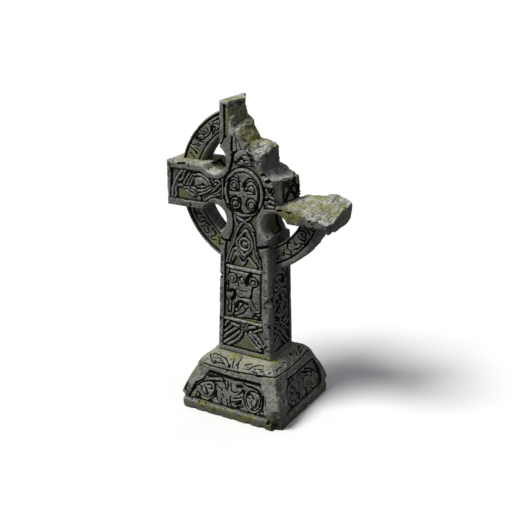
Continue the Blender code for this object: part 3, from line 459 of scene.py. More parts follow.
def add_layer(mesh, name, marks):
    layer = mesh.color_attributes.new(name=name, type="FLOAT_COLOR", domain="POINT")
    layer.data.foreach_set("color", np.asarray(marks, np.float32).ravel())


def mesh_object(name, points, tris, marks):
    mesh = bpy.data.meshes.new(name)
    mesh.from_pydata([tuple(p) for p in points], [], [tuple(int(i) for i in t) for t in tris])
    bm = bmesh.new()
    bm.from_mesh(mesh)
    bmesh.ops.remove_doubles(bm, verts=bm.verts, dist=2e-5)
    bmesh.ops.recalc_face_normals(bm, faces=bm.faces)
    bm.to_mesh(mesh)
    bm.free()
    if len(marks) != len(mesh.vertices):
        # Points were merged, so marks are matched to the mesh's own points by place
        found = {tuple(k): i for i, k in enumerate(np.round(points, 4))}
        marks = [marks[found.get(tuple(k), 0)] for k in np.round(coords(mesh), 4)]
    add_layer(mesh, "wear_and_shade", marks)
    return add_object(name, mesh)


def boolean(target, other, operation):
    modifier = target.modifiers.new("b", "BOOLEAN")
    modifier.operation, modifier.solver, modifier.object = operation, "MANIFOLD", other
    graph = bpy.context.evaluated_depsgraph_get()
    graph.update()
    mesh = bpy.data.meshes.new_from_object(target.evaluated_get(graph))
    target.modifiers.clear()
    old = target.data
    target.data = mesh
    bpy.data.meshes.remove(old)
    bpy.data.objects.remove(other, do_unlink=True)
    if not mesh.polygons:
        raise RuntimeError(f"{operation} left {target.name} empty")


# Outline of the unbroken cross
def half_at(z):
    """Half the shaft's width at a height."""
    return FOOT_HALF + (NECK_HALF - FOOT_HALF) * (z - FOOT) / (NECK_LEVEL - FOOT)


def arc_points(cx, cz, r, start, end, n=24):
    a = np.radians(np.linspace(start, end, n))
    return np.stack([cx + r * np.cos(a), cz + r * np.sin(a)], axis=1)


def cross_loop():
    """(loop, length of the shaft's right side, where the three whole armpits start and end along the loop).

    The loop starts up the right side from the foot.
    """
    low, high = HEAD_LEVEL - PIT_Z, HEAD_LEVEL + PIT_Z

    def angle(dx, dz):
        return math.degrees(math.atan2(dz, dx))

    dx = NECK_HALF - PIT_X
    a0 = angle(dx, -math.sqrt(PIT_R**2 - dx**2)) % 360
    dz = ARM_BOTTOM - low
    a1 = angle(math.sqrt(PIT_R**2 - dz**2), dz)
    lower = arc_points(PIT_X, low, PIT_R, a0, a1)
    dz = ARM_TOP - high
    a2 = angle(math.sqrt(PIT_R**2 - dz**2), dz) % 360
    dx = TOP_HALF - PIT_X
    a3 = angle(dx, math.sqrt(PIT_R**2 - dx**2))
    upper = arc_points(PIT_X, high, PIT_R, a2, a3)
    corners = [[half_at(FOOT), FOOT], lower, [ARM_REACH, ARM_BOTTOM], [ARM_REACH, ARM_TOP], upper,
               [TOP_HALF, TOTAL_HEIGHT]]
    right, marks = [], []
    for c in corners:
        block = np.atleast_2d(np.asarray(c, float))
        marks.append((len(right), len(right) + len(block) - 1))
        right += list(block)
    pts = np.array(right + [(-x, z) for x, z in reversed(right)])
    at, loop, place = 0.0, [], {}
    shut = closed(pts)
    for i in range(len(pts)):
        place[i] = at
        a, b = shut[i], shut[i + 1]
        size = np.hypot(*(b - a))
        n = max(1, int(round(size / (0.0045 if i == 0 else 0.0072))))
        loop += [a + (b - a) * k / n for k in range(n)]
        at += size
    (low_a, low_b), (high_a, high_b) = marks[1], marks[4]
    last = len(pts) - 1
    armpits = ((low_a, low_b), (last - high_b, last - high_a), (last - low_b, last - low_a))
    return np.array(loop), place[low_a], [(place[a], place[b]) for a, b in armpits]


def along(line):
    """How far along the line each of its points is."""
    return np.concatenate([[0.0], np.cumsum(np.hypot(*(line[1:] - line[:-1]).T))])


def slab(name, loop, front, back, round_front, round_back, relief, wall, seed, back_relief=None):
    """A closed slab of stone: carved front, side wall and plainer back."""
    shell = Shell()
    shut = closed(loop)

    def swell(points):
        return 0.0012 * rough(points, 0.060, 3, seed)

    def face(base, sign, radius, carving, size, number):
        flat, tris = flat_mesh(loop, carving, size, number)
        d = distance(flat, shut)
        d[d < 1e-5] = 0.0
        fade = ramp(d, 0.0, 0.010)
        h, crease, floor = height_of(carving, flat)
        y = np.full(len(flat), base) - sign * quarter(d, radius)
        points = np.stack([flat[:, 0], y, flat[:, 1]], axis=1)
        points[:, 1] += sign * (h + swell(points)) * fade
        shell.add(points, tris, crease, floor)

    face(front, -1, round_front, relief, GRAIN, seed)
    face(back, 1, round_back, back_relief, GRAIN * 1.9, seed + 1)
    s = along(shut)
    y0, y1 = front + round_front, back - round_back
    steps = max(2, int(round((y1 - y0) / (GRAIN * 1.3))))
    ys = np.linspace(y0, y1, steps + 1)
    rect = [(v, y0) for v in s] + [(s[-1], y) for y in ys[1:-1]] + [(v, y1) for v in s[::-1]]
    rect += [(0.0, y) for y in ys[-2:0:-1]]
    flat, tris = flat_mesh(rect, wall, GRAIN * 1.25, seed + 2, rows=())

    def place(distances):
        return np.stack([np.interp(distances, s, shut[:, k]) for k in (0, 1)], axis=1)

    on = place(flat[:, 0])
    ahead = place(flat[:, 0] + 0.002) - place(flat[:, 0] - 0.002)
    ahead /= np.maximum(np.hypot(ahead[:, 0], ahead[:, 1]), 1e-9)[:, None]
    normal = np.stack([ahead[:, 1], -ahead[:, 0]], axis=1)
    h, crease, floor = height_of(wall, flat)
    points = np.stack([on[:, 0], flat[:, 1], on[:, 1]], axis=1)
    edge = np.minimum(flat[:, 1] - y0, y1 - flat[:, 1])
    edge = np.minimum(edge, np.minimum(flat[:, 0], s[-1] - flat[:, 0]))
    move = (h + swell(points)) * ramp(edge, 0.0, 0.008)
    points[:, 0] += normal[:, 0] * move
    points[:, 2] += normal[:, 1] * move
    shell.add(points, tris, crease, floor)
    return shell.build(name)


# Carving on the front of the cross
def front_relief():
    r = Relief()
    # Sunk fields: shaft and neck, left arm, top arm, root of the right arm
    r.field(FIELD_DEPTH, (-12.8, 32.6, 11.8, 32.6, 11.5, 40, 11, 49, 10.5, 56, 10.3, 66, 10.6, 76, 10.8, 86,
        9, 89.2, 7.8, 90.5, 7.6, 94, 7.4, 98, 7.3, 104.5, 9, 108, 11.3, 112, 11.6, 116, 11.4, 121, 9.6, 126,
        6.9, 129, 5.4, 133, 3, 136, -1, 137.5, -6, 136, -6.6, 132, -7.3, 129, -7.8, 127, -9.4, 125.2, -11,
        123.3, -11.2, 118, -11.2, 112, -9.4, 107.6, -6.6, 105, -6.1, 101, -6.2, 98, -7, 94.5, -8.5, 91.6,
        -10.4, 89.6, -11, 86, -11.1, 80, -11.3, 75, -11.6, 62, -12, 50, -12.6, 40), (-43.2, 107.9, -25,
        107.9, -22.4, 108.5, -19, 110.4, -16.5, 111.2, -13, 110.7, -11, 112, -11, 123.2, -12.5, 122.2, -15,
        121.3, -18.5, 121, -21.5, 121.8, -23.3, 123.2, -25, 123.9, -42, 123.7, -42.4, 118))
    r.field(FIELD_DEPTH * 0.8, (11.3, 109.6, 17.6, 110.4, 18, 121, 11.3, 121))
    # Top arm: sunk grooves between its rolls
    r.field(1,
        (-10.9, 158.4, -10.9, 144, -10.4, 141.6, -8.8, 143, -8, 148, -7.7, 153, -8.2, 156.8, -9.4, 158.4))
    r.field(0.9, (-7.1, 136.5, -6, 135, -5.5, 138, -5.6, 143.8, -6.5, 143.6, -7, 140))
    r.groove(0.28, 1, (-10.6, 143, -11.3, 140.6, -12.6, 138.9, -14.2, 137.4))
    r.groove(0.26, 0.9, (-6, 135.6, -6.6, 132, -7.4, 129, -8, 127))
    r.groove(0.2, 0.6, (-4.9, 144.8, -4.1, 142.4, -3.7, 138.5, -3.4, 135),
        (-3.4, 142.3, -2.2, 140.4, -1.4, 138.2, -0.8, 137.2))
    # Knot over the medallion
    r.plate(-0.25, (-5.4, 129.8, 6, 130.4, 4.6, 134, 0.5, 137.6, -3, 137, -5.2, 134.6))
    r.groove(0.35, 1, (-5, 130.4, -3.6, 130.6, -4.6, 131.4))
    r.groove(0.24, 0.9, (-3.4, 131.8, -1, 133.4, 0.6, 131.4, 1.9, 130.6))
    r.groove(0.2, 0.8, (-2.4, 131.4, -1.4, 130.9))
    r.groove(0.24, 0.8, (-0.6, 133.4, -4.6, 130.2), (-0.4, 134.8, 1.2, 135.2, 2.6, 135.4))
    r.groove(0.22, 0.8, (0.2, 132.3, 1.8, 132.7, 3.4, 133), (1.4, 130.8, 3.4, 131.4, 4.8, 130.9))
    r.groove(0.2, 0.7, (2.6, 135, 3.6, 133.6, 4.6, 132, 4.4, 130.6))
    # Medallion
    r.plate(-0.05, ell(0.05, 116.3, 10.9, 12.3, 0, 345, 46))
    r.groove(0.28, 0.9, ell(0, 116.2, 9.1, 10.4))
    r.groove(0.25, 1, ell(0.05, 116.3, 11.15, 12.55))
    r.groove(0.27, 0.5, ell(0, 116.2, 8.25, 9.4, 158, 214), ell(0, 116.2, 8.2, 9.3, -42, 30))
    r.groove(0.31, 0.8, ell(-5.1, 119.3, 2.85, 2.8))
    r.groove(0.29, 0.7, ell(-5.1, 119.3, 4.2, 4.2, 38, 162))
    r.groove(0.25, 0.5, ell(-5.1, 119.4, 1.5, 1.45))
    r.pit(0.35, 0.4, (-5.9, 119.4))
    r.pit(0.4, 0.4, (-5.2, 118))
    r.groove(0.29, 0.7, ell(4.4, 118.5, 4.6, 5.4, 10, 172))
    r.groove(0.27, 0.6, ell(4.4, 118.5, 3.3, 4.1, 12, 168), ell(4.4, 118.6, 1.9, 1.9, -20, 200))
    r.pit(0.45, 0.5, (4.7, 118.6))
    r.groove(0.29, 0.8, (1.2, 117.2, 3.4, 117.7, 6.4, 117))
    r.groove(0.27, 0.6, (2.2, 116, 4.4, 116.1, 6.6, 116.5))
    r.groove(0.35, 0.9, ell(-4.5, 110.5, 3.2, 3.2))
    r.groove(0.27, 0.6, ell(-4.5, 110.5, 1.7, 1.7))
    r.pit(0.5, 0.5, (-4.4, 110.4))
    r.groove(0.29, 0.7, (-8.4, 109.6, -7, 107.2, -4.6, 106.3, -2, 106.7))
    r.groove(0.35, 0.9, ell(4.5, 111, 2.9, 3.2))
    r.groove(0.27, 0.6, ell(4.5, 110.6, 1.7, 1.7))
    r.pit(0.5, 0.5, (4.3, 110.5))
    r.groove(0.29, 0.7, (7.8, 113.2, 8.2, 110.4, 6.2, 107.2, 1.8, 106))
    r.groove(0.26, 0.7, (-2.3, 117.4, -2.2, 120, -2.6, 124), (0.4, 117.6, 0.9, 121, 2.8, 124.2),
        (-8.6, 116.6, -5.6, 116.4, -2.3, 116.9), (-8.4, 113.9, -5, 113.8, -1.4, 113.6),
        (-1.5, 113.4, -1.3, 109, -1.2, 106.4))
    r.pit(0.75, 0.6, (0.3, 114.4))
    r.pit(0.45, 0.4, (-0.8, 119.2))
    r.groove(0.39, 0.8, (0.2, 106.1, -1.4, 107.4, -3.4, 107.6))
    # Neck: crossing straps, diamond with a curl, zigzag
    strap, top = 0.50, -0.20
    r.ridge(strap, top, (4.2, 104.6, 2, 102.6, -0.4, 101.2, -2.6, 98.6, -4.4, 95, -5.6, 91.2, -7.4, 86.4,
        -9, 82.4, -10, 79), (-4.6, 104.4, -2.4, 102.6, 0.8, 101.6, 3, 99.2, 4.9, 96.8, 6.1, 94, 6.4, 90.4,
        6.8, 87.6, 8.2, 83.6, 10.2, 79.4))
    r.ridge(0.42, top, (-3.4, 99.4, -4.8, 101.8, -5, 104.4), (5.4, 97.6, 4, 99.6, 2.4, 101))
    r.ridge(0.55, top, (-7.6, 79, -5.9, 82.2, -4.4, 84.6, -2.6, 82.2, -0.8, 79.4, 0.8, 81.4, 2.2, 83.4, 4.4,
        81.4, 7.2, 78.9), (-8.6, 79.2, -7.2, 83.2, -5.8, 86.8, -4.2, 87, -2, 84.6, 0.6, 82))
    r.ridge(0.48, top, (9.4, 79.6, 7.4, 82.8, 6, 85.6, 5.2, 88, 3.4, 86.2, 1.2, 83.8, -0.2, 82.6))
    r.ridge(0.6, top, (1.2, 97.2, -0.8, 95.4, -2.8, 92.8, -4.2, 90.2, -2.4, 87, 0.2, 84.2, 2.4, 86.2, 4.8,
        89.4, 4.4, 92.4, 3, 94.6, 1.2, 97.2))
    r.ridge(0.48, top, curl(0.35, 90, 3, 2.9, 100, 1))
    r.dome(1.9, 0.95, (0.35, 89.8))
    r.pit(0.45, 0.5, (-0.9, 90.3))
    r.pit(0.4, 0.5, (0.9, 91.4), (0.9, 89.6))
    r.pit(0.38, 0.5, (0.4, 87.8))
    # Joint lines across the corner rolls
    r.groove(0.55, 1.3, (-14.4, 91.4, -12.8, 91.5, -11.2, 90.5, -8.9, 90.6),
        (8, 89.3, 10.4, 89.9, 13, 90.9, 16.2, 91.7))
    # Worn ground beside the break and along the corner rolls
    r.worn(1.6, 0.55, (2.5, 132, 17, 130, 17, 145, 0.5, 145))
    r.worn(1.3, 0.28, (11.8, 33, 15.8, 33, 13.8, 90, 10.9, 90))
    r.worn(1.3, 0.24, (-15.8, 33, -12.8, 33, -11.3, 90, -13.8, 90))
    # Front of the broken arm
    r.worn(1.5, 0.45, (20, 104.4, 46, 102.4, 46, 112.6, 20, 112.2))
    r.groove(0.45, 0.9, (18.9, 110.2, 22, 111, 25, 110.4, 28, 111.2, 31, 110.8, 34, 109.4))
    r.pit(1.3, 0.6, (32.6, 109.6))
    r.pit(1, 0.5, (39.6, 108.2))
    # Upper bar
    r.plate(0.02, (-10.2, 76, 10.3, 76.2, 10.4, 77.7, -10.2, 77.5))
    # Worn scene
    r.plate(-0.35, (-10.2, 50.2, 9, 51, 9.2, 58, 9.1, 74.9, -9.6, 75.1, -10.4, 62))
    r.groove(0.7, 1.1, (3.8, 74.6, 2.4, 73, 1.7, 71, 1.6, 68.6))
    r.groove(0.36, 0.9, (5.9, 68.2, 4.8, 67.2, 4.5, 65, 4.4, 63.4, 3.8, 61.8),
        (4.4, 60.8, 5.8, 58.2, 7.7, 56.2), (-3, 71.7, -1.2, 72.6), (-2.3, 72, -2.5, 70.4),
        (-8.4, 75.2, -8.6, 73.2))
    r.pit(0.85, 0.8, (3.8, 61.9))
    r.pit(0.6, 0.7, (7.8, 56.3))
    r.groove(0.75, 1.2, (-8.2, 63.6, -6.6, 64.4, -5.4, 64, -5.3, 62.4, -6, 60.6, -7.2, 59.2))
    r.groove(0.6, 1.1, (-4.2, 55.4, -3.8, 57.4, -3, 58.8, -0.8, 59, 1.8, 58.2))
    r.groove(0.32, 0.8, (-4.4, 62.4, -2.8, 61.2, 0, 61.7, 3.5, 61.5),
        (-0.4, 58.2, -2.2, 55.6, -3.6, 53.8, -5.6, 52.6), (1.3, 55.1, -0.8, 52.9, -2.8, 51.8, -5.6, 50.8),
        (-5.4, 58, -5.5, 53.6, -6.7, 50.6), (-7.1, 58.2, -7.2, 55.2, -7.7, 52), (-8.9, 58.4, -9.2, 55.6),
        (-9.6, 54.4, -9, 51.8), (5.3, 54, 7.6, 54.4, 9.7, 54.9), (3.9, 56.8, 4.1, 55),
        (-9.4, 69, -9, 66, -9.4, 63.2), (-0.2, 57, 0.8, 55.6, 2.4, 56.6))
    r.groove(0.48, 0.9, (5.1, 52.3, 6.9, 53.1, 8.4, 52.1), (-0.4, 50.4, 4, 50.9, 9.4, 50.9),
        (-10.4, 59.8, -9.4, 58.6))
    r.pit(0.5, 0.6, (2.8, 57))
    r.pit(0.8, 0.5, (-1.2, 69))
    r.pit(0.5, 0.6, (-0.6, 65))
    r.groove(0.24, 0.45, (-4, 65.6, -1.4, 65, 1.6, 65.4), (-3.4, 69.2, -3, 67), (0.4, 71.6, 0.6, 69))
    for radius, high, x, z in (
        (2, 0.45, -1.2, 54.8), (1.6, 0.35, 2.2, 52.8), (1.6, 0.45, -0.6, 70.6), (1.5, 0.4, -3.4, 64),
        (1.3, 0.4, 1, 60), (1.3, 0.35, 7, 60.8), (1.2, 0.35, 0.4, 63.4),
    ):
        r.dome(radius, high, (x, z))
    for cx, cz in ((-6.7, 71.1), (5.4, 70.9)):
        r.dome(3, 0.45, (cx, cz))
        r.groove(0.3, 0.75, ell(cx, cz, 2.85, 2.8))
        r.groove(0.22, 0.55, ell(cx, cz, 1.25, 1.25))
        for k in range(8):
            a = math.radians(45 * k + 10)
            r.pit(0.3, 0.25, (cx + 2 * math.cos(a), cz + 2 * math.sin(a)))
    # Lower bar
    r.plate(-0.1, (-11.8, 47.7, 10.6, 47.9, 10.7, 49, -11.8, 48.9))
    # Rays of leaves
    leaf, high = 0.62, -0.25
    r.ridge(leaf, high, (-4.6, 44, -8.6, 40.8, -12, 37.6), (-2.8, 42.4, -7, 38.4, -12, 34.4),
        (-1, 42.6, -2.8, 39.2, -5.8, 36.2, -9.8, 33.6))
    r.ridge(0.45, high, (-7.6, 46.4, -8.4, 44, -11.6, 41))
    r.ridge(0.62, high, (-3.2, 45.2, -5, 45.4, -7.4, 45.9))
    r.ridge(0.4, high, (-9, 46.6, -10.4, 46.2, -11.2, 44))
    r.ridge(leaf, high, (3.4, 43.6, 7.4, 41.2, 11.2, 36.8), (2.6, 42.2, 6.2, 39.2, 9.4, 35.8),
        (0.5, 42, 2.8, 39.2, 6.4, 35.8, 9.8, 33.8))
    r.ridge(0.55, high, (0.9, 44.6, 3.4, 45.8, 6.6, 46.8))
    r.ridge(0.5, high, (5.6, 43.8, 8, 45, 10.4, 46.2))
    r.ridge(0.45, high, (0.4, 44.6, 1.4, 46.2, 2, 47.4))
    r.pit(0.8, 0.5, (-0.9, 44.6))
    r.dome(1.4, 0.75, (-0.4, 43.4))
    # Left arm
    band = 0.62
    r.ridge(band, -0.15, (-35.6, 122.6, -37.8, 120.2, -39.8, 117, -41.3, 113, -41.7, 109))
    r.ridge(0.48, -0.15, (-38.4, 116, -39.6, 113, -39.3, 110, -40, 108.6))
    r.ridge(0.6, -0.15, (-38, 115, -35.6, 114.8, -33.2, 112.8, -31, 111.4, -28.8, 110.8))
    r.ridge(0.55, -0.15, (-37.6, 117.4, -35.8, 118.4, -34.6, 121, -33.8, 123))
    r.ridge(0.5, -0.15, (-34.8, 115.8, -33.6, 118.4, -31, 122))
    r.ridge(0.45, -0.15, (-32.9, 115.6, -31.4, 118.6, -29.2, 121.8),
        (-31.2, 115.4, -30, 118, -28.2, 120.6))
    r.ridge(0.5, -0.15, (-34.6, 114.2, -31.6, 114.2, -29, 113, -26.6, 111.4, -25.2, 109.4))
    r.ridge(0.45, -0.15, (-30.2, 114.8, -28.2, 114.4, -26.8, 112.8))
    r.plate(-0.2, (-28.2, 119.8, -26.6, 120.4, -23.6, 120.6, -21, 118.9, -20.1, 116.9, -21.6, 115.4, -25,
        115.2, -26.8, 115.6, -28, 117.6))
    r.groove(0.28, 0.7, (-26.4, 116.4, -24, 117, -22.4, 117.3, -21.4, 116.4))
    r.ridge(0.48, -0.15, (-28.6, 121.4, -25.6, 122, -22.6, 121.2, -20.2, 119.4, -18.9, 117.2),
        (-26.6, 113.6, -23, 114.2, -20.4, 115.6, -18.4, 116.6))
    r.ridge(0.45, -0.15, (-26, 111.6, -22.6, 113, -19.6, 114.8, -17.4, 116.2))
    r.ridge(0.5, -0.15, (-22.2, 109.2, -19.2, 111.4, -15.8, 112.8, -12.4, 114.2))
    r.ridge(0.42, -0.15, (-18.4, 120.2, -15.2, 117.6, -12, 113.6), (-18, 114.2, -15, 117.2, -12.4, 120.6))
    r.ridge(0.4, -0.15, (-17.6, 119, -14.8, 120.4, -12.2, 118.4),
        (-16.8, 113.2, -14.4, 114.6, -12.6, 116.6))
    r.ridge(0.36, -0.15, (-11.9, 112.4, -11.8, 117, -11.9, 121.8))
    r.groove(0.45, 0.7, (-37.6, 126.1, -36.2, 126.4, -34, 126.6))
    r.groove(0.24, 0.5, (-31.6, 126.6, -31.4, 125.6))
    r.groove(0.28, 0.9, (-43.4, 125.8, -42.6, 124.2, -42.2, 121))
    r.groove(0.22, 0.7, (-31, 106.2, -30.7, 105, -30.3, 103.2))
    r.groove(0.3, 0.5, (-45.4, 119.6, -43.6, 118.8))
    # Root of the right arm
    r.worn(1.7, 0.55, (9.6, 121.6, 18.8, 121.4, 18.8, 128.4, 10.2, 128.4))
    r.ridge(0.46, -0.05, (11.8, 112.2, 14.6, 114, 17.4, 113), (12.2, 115.4, 14.8, 117.6, 15.6, 119.4),
        (12.6, 119.6, 14.4, 116.6, 17.2, 115.4), (12.2, 113.4, 13.6, 111.6, 16.8, 111.2))
    r.groove(0.55, 1, (10.4, 126.6, 12, 127, 13.2, 126.7), (12.4, 123.4, 14.8, 124.2, 17, 123.6))
    r.groove(0.32, 0.8, (15.6, 120.4, 15.2, 118.4))
    return r


def ring_relief(start, end, groove_out, groove_in, lines):
    """A sunk band between two rolls, with the dark lines that part its winding strands."""
    r = Relief()
    steps = max(8, int(abs(end - start) / 5))
    outer = ell(0, 116, groove_out, groove_out, start, end, steps)
    inner = ell(0, 116, groove_in, groove_in, end, start, steps)
    r.sunk(0.4, outer + inner)
    r.groove(0.3, 0.6, outer, inner)
    r.groove(0.27, 0.7, *lines)
    return r


UPPER_LEFT_LINES = (
    ell(-29, 139, 2.2, 1.5), (-27, 142, -26, 141.8, -25.5, 141.2), (-25.3, 143.8, -24.6, 143, -24.7, 142),
    (-24, 146.3, -23, 145, -23, 142.8, -24, 140.8, -26, 139), (-22, 146, -22, 144, -22, 142),
    (-20.5, 145, -20.7, 143, -22, 141), (-21.3, 146.5, -19, 146.5), (-22.3, 147.3, -18.5, 149.2),
    (-35, 135, -33, 134.5, -30.5, 135.3, -29.5, 134.5, -31, 134), (-35.5, 133.5, -33, 131.8, -31.5, 130.2),
    (-31.5, 133, -30, 131.9), (-32.6, 138.2, -30.6, 136.8, -27.6, 136.6),
    (-29.6, 142.8, -28.2, 141.6, -26.8, 140.6), (-18.2, 146, -17.6, 148, -16.4, 149.6),
    (-35.6, 130.4, -33.4, 128.6, -32.4, 126.6), (-19.4, 143.4, -17.8, 144.6, -15.4, 145.2),
    (-15.6, 150.6, -14.8, 148.2, -13.2, 147.2),
)
LOWER_LEFT_LINES = (
    (-33, 100, -32.3, 97, -30.5, 95), (-30, 97, -28.5, 97.6, -27, 96.8),
    (-29.8, 94.5, -28, 95.5, -26, 94.5, -24.5, 93.8),
    (-29.5, 92.3, -28.5, 92.8, -26.5, 93, -25.8, 92, -25.2, 90.5, -24.2, 90),
    (-28, 91.5, -27.5, 90, -26.3, 89.3, -25.5, 89.5), (-22.5, 92.3, -23.2, 91.8, -22, 90.8, -21, 89.5,
    -21.5, 88.7, -23.5, 88, -23.8, 86.8, -22.5, 86.2, -21, 86.5),
    (-19.6, 88.6, -18.4, 87, -19, 85, -17.2, 83.8), (-35.8, 103.6, -34, 102, -33.8, 99),
    (-31.6, 101.2, -30.8, 99.4, -29.4, 98.8), (-16.6, 86.4, -15, 84.4, -13.4, 82.8),
)
LOWER_RIGHT_LINES = (
    (26, 99, 28, 99.6, 29.8, 99, 30.3, 97.5, 29.8, 96.3), (28.3, 98, 28, 97, 29, 96.4),
    (26.3, 96, 27.5, 95, 29.5, 94.5, 30.5, 95.8), (27, 93, 28, 92.7, 29.8, 92.8),
    (24.3, 93, 24.5, 91.8, 25.5, 92.3), (24, 89.3, 26, 90, 27.5, 91.5, 28, 93),
    (20, 91, 21, 92.2, 22.5, 92.3), (20.3, 90.5, 20.5, 89, 22, 88.3), (18.4, 87.5, 18.6, 86.5, 20, 86),
    (22, 88, 22.4, 87, 21.8, 86.2, 20.5, 85.8), ell(17.8, 85.5, 0.8), (30.6, 103.4, 32, 101.4, 33.6, 100.6),
    (29, 101.6, 30.8, 100.6, 32, 98.8), (15.6, 84.4, 14.6, 82.6, 12.8, 82),
    (14, 85.8, 12.6, 84.4, 11.2, 84),
)


def side_relief():
    """Carving on the shaft's right side, given as (y, z) and turned to (height above the foot, y)."""
    r = Relief()
    base = FOOT / CM

    def turn(flat):
        return [v for y, z in pairs(flat) for v in (z - base, y)]

    r.sunk(0.55, turn((-8.4, 33, 8.4, 33, 8.4, 72, 6.6, 76.4, 3, 78.6, -1, 79, -5, 77.4, -8.2, 73)))
    for line in (
        (-7.4, 58, -7.6, 66, -7.5, 72, -6, 74.6, -4, 76, -2, 76.6, 0, 76.2, 2, 75.5, 5, 73, 6.3, 70),
        (-6.4, 64, -6.4, 68.8, -6, 71.5, -4, 72.4, -1.5, 73.2, 0.5, 72.5, 3, 72, 4.5, 70.5),
        ell(3.2, 69.3, 1.7, 1.7), ell(3.2, 69.3, 0.6, 0.6), (-6, 65.5, -3, 64, 0, 65, 2, 67),
        (-4.8, 70.8, -3, 69.4, -1, 70.4, 0.6, 69.4), (-4.6, 67.4, -2.4, 66.8, -0.4, 68.2),
        (7, 57, 7, 64, 7, 72), (3, 65, 6.5, 64), (-4, 50.3, 1, 48.8, 5, 50.3),
        curl(0.2, 58.5, 2.6, 0.8, 180, -1.5), curl(-1.2, 54.2, 2.4, 0.8, 60, 1.4),
        curl(4.4, 54.6, 2.2, 0.8, 240, 1.3), (-5, 61.8, -3.4, 57, -5.4, 52.4), (-6.6, 52, -3, 50.8),
        (3.4, 62.6, 5.2, 60, 4.6, 57.4), (-2.4, 62.2, 0.4, 61.6, 2.2, 62.6),
    ):
        r.groove(0.36, 0.85, turn(line))
    r.pit(1.2, 0.8, turn((-0.2, 62.4)))
    r.pit(1.3, 0.8, turn((-6.4, 57.6)))
    r.field(1.1, turn((-8, 33, 8, 33, 8, 49, -8, 49)))
    for line in (
        (-7.4, 36.6, -2, 41.4, 2.6, 46, 6.8, 49), (-7.4, 34, -1, 38.4, 3.6, 43, 7.6, 46),
        (-7.6, 48.4, -2.2, 44.8, 2.4, 40, 7.4, 35), (-7.6, 45, -3, 42, 1, 37.4, 4.8, 33.8),
        (-6.4, 49, -0.6, 47, 3.4, 44.2, 7.6, 40.6), (-7.4, 40.4, -4.2, 44.2, -0.4, 48.6),
    ):
        r.ridge(0.56, -0.1, turn(line))
    return r


def wall_relief(loop, side, armpits):
    """The side carving, the sunk bands inside the armpits, and a plain panel on the left side."""
    r = side_relief()
    for a, b in armpits:
        a, b = a / CM, b / CM
        r.field(1, (a + 0.6, -4.7, b - 0.6, -4.7, b - 0.6, 4.7, a + 0.6, 4.7))
    top = (along(closed(loop))[-1] - 2 * FOOT_HALF) / CM
    foot = top - side / CM
    r.sunk(0.8, (foot + 15, -7.5, top - 3, -7.5, top - 3, 8.2, foot + 15, 8.2))
    return r


def back_relief():
    r = Relief()
    r.sunk(0.8, (-12.2, 33, 12.2, 33, 10.4, 90, -10.4, 90), ell(0, 116, 8.8, 8.8, 0, 345, 24))
    r.ridge(0.6, -0.1, ell(0, 116, 6.2, 6.2))
    for z in (49.2, 77.2):
        r.ridge(0.75, -0.1, (-12.4, z, 12.4, z))
    return r


# What is lost from the cross
def break_rows():
    """(depths, the line of the break at each depth, which points of a line lie on the block's right end)."""
    ys = np.linspace(FRONT - 0.03, BACK + 0.03, 78)
    mid = np.array([step[1] for step in BREAK_STEPS])
    gaps = np.hypot(*(mid[1:] - mid[:-1]).T)
    cols = []
    for i, gap in enumerate(gaps):
        n = 3 if i == 0 else max(2, int(round(gap / (0.0030 if i == END_STEP else 0.0052))))
        cols += [(i, k / n) for k in range(n)]
    cols.append((len(gaps) - 1, 1.0))
    rows = []
    for y in ys:
        near, far, t = (0, 1, (y - FRONT) / -FRONT) if y < 0 else (1, 2, y / BACK)
        t = min(max(t, 0.0), 1.0)
        line = np.array([np.array(s[near]) * (1 - t) + np.array(s[far]) * t for s in BREAK_STEPS])
        rows.append(np.array([line[i] * (1 - f) + line[i + 1] * f for i, f in cols]))
    return ys, np.array(rows), np.array([i == END_STEP for i, _ in cols])


def end_relief():
    """Interlace left on the right end of the block beside the head, as (y, z)."""
    r = Relief()
    r.field(1, (-6.4, 112.6, 9.6, 112.6, 9.4, 120.2, 4, 123.4, -5.6, 123.4))
    r.ridge(0.5, -0.05, (-5.4, 113.6, -1.6, 118, 3, 122.2), (-4.6, 121.8, -0.6, 117.4, 4, 113.4),
        (8.8, 114, 4.8, 117.6, 0.6, 122.4), (9, 119.2, 5.4, 116.2, 2, 113.2),
        (-2.6, 122.4, 2, 120.4, 7.6, 117))
    return r


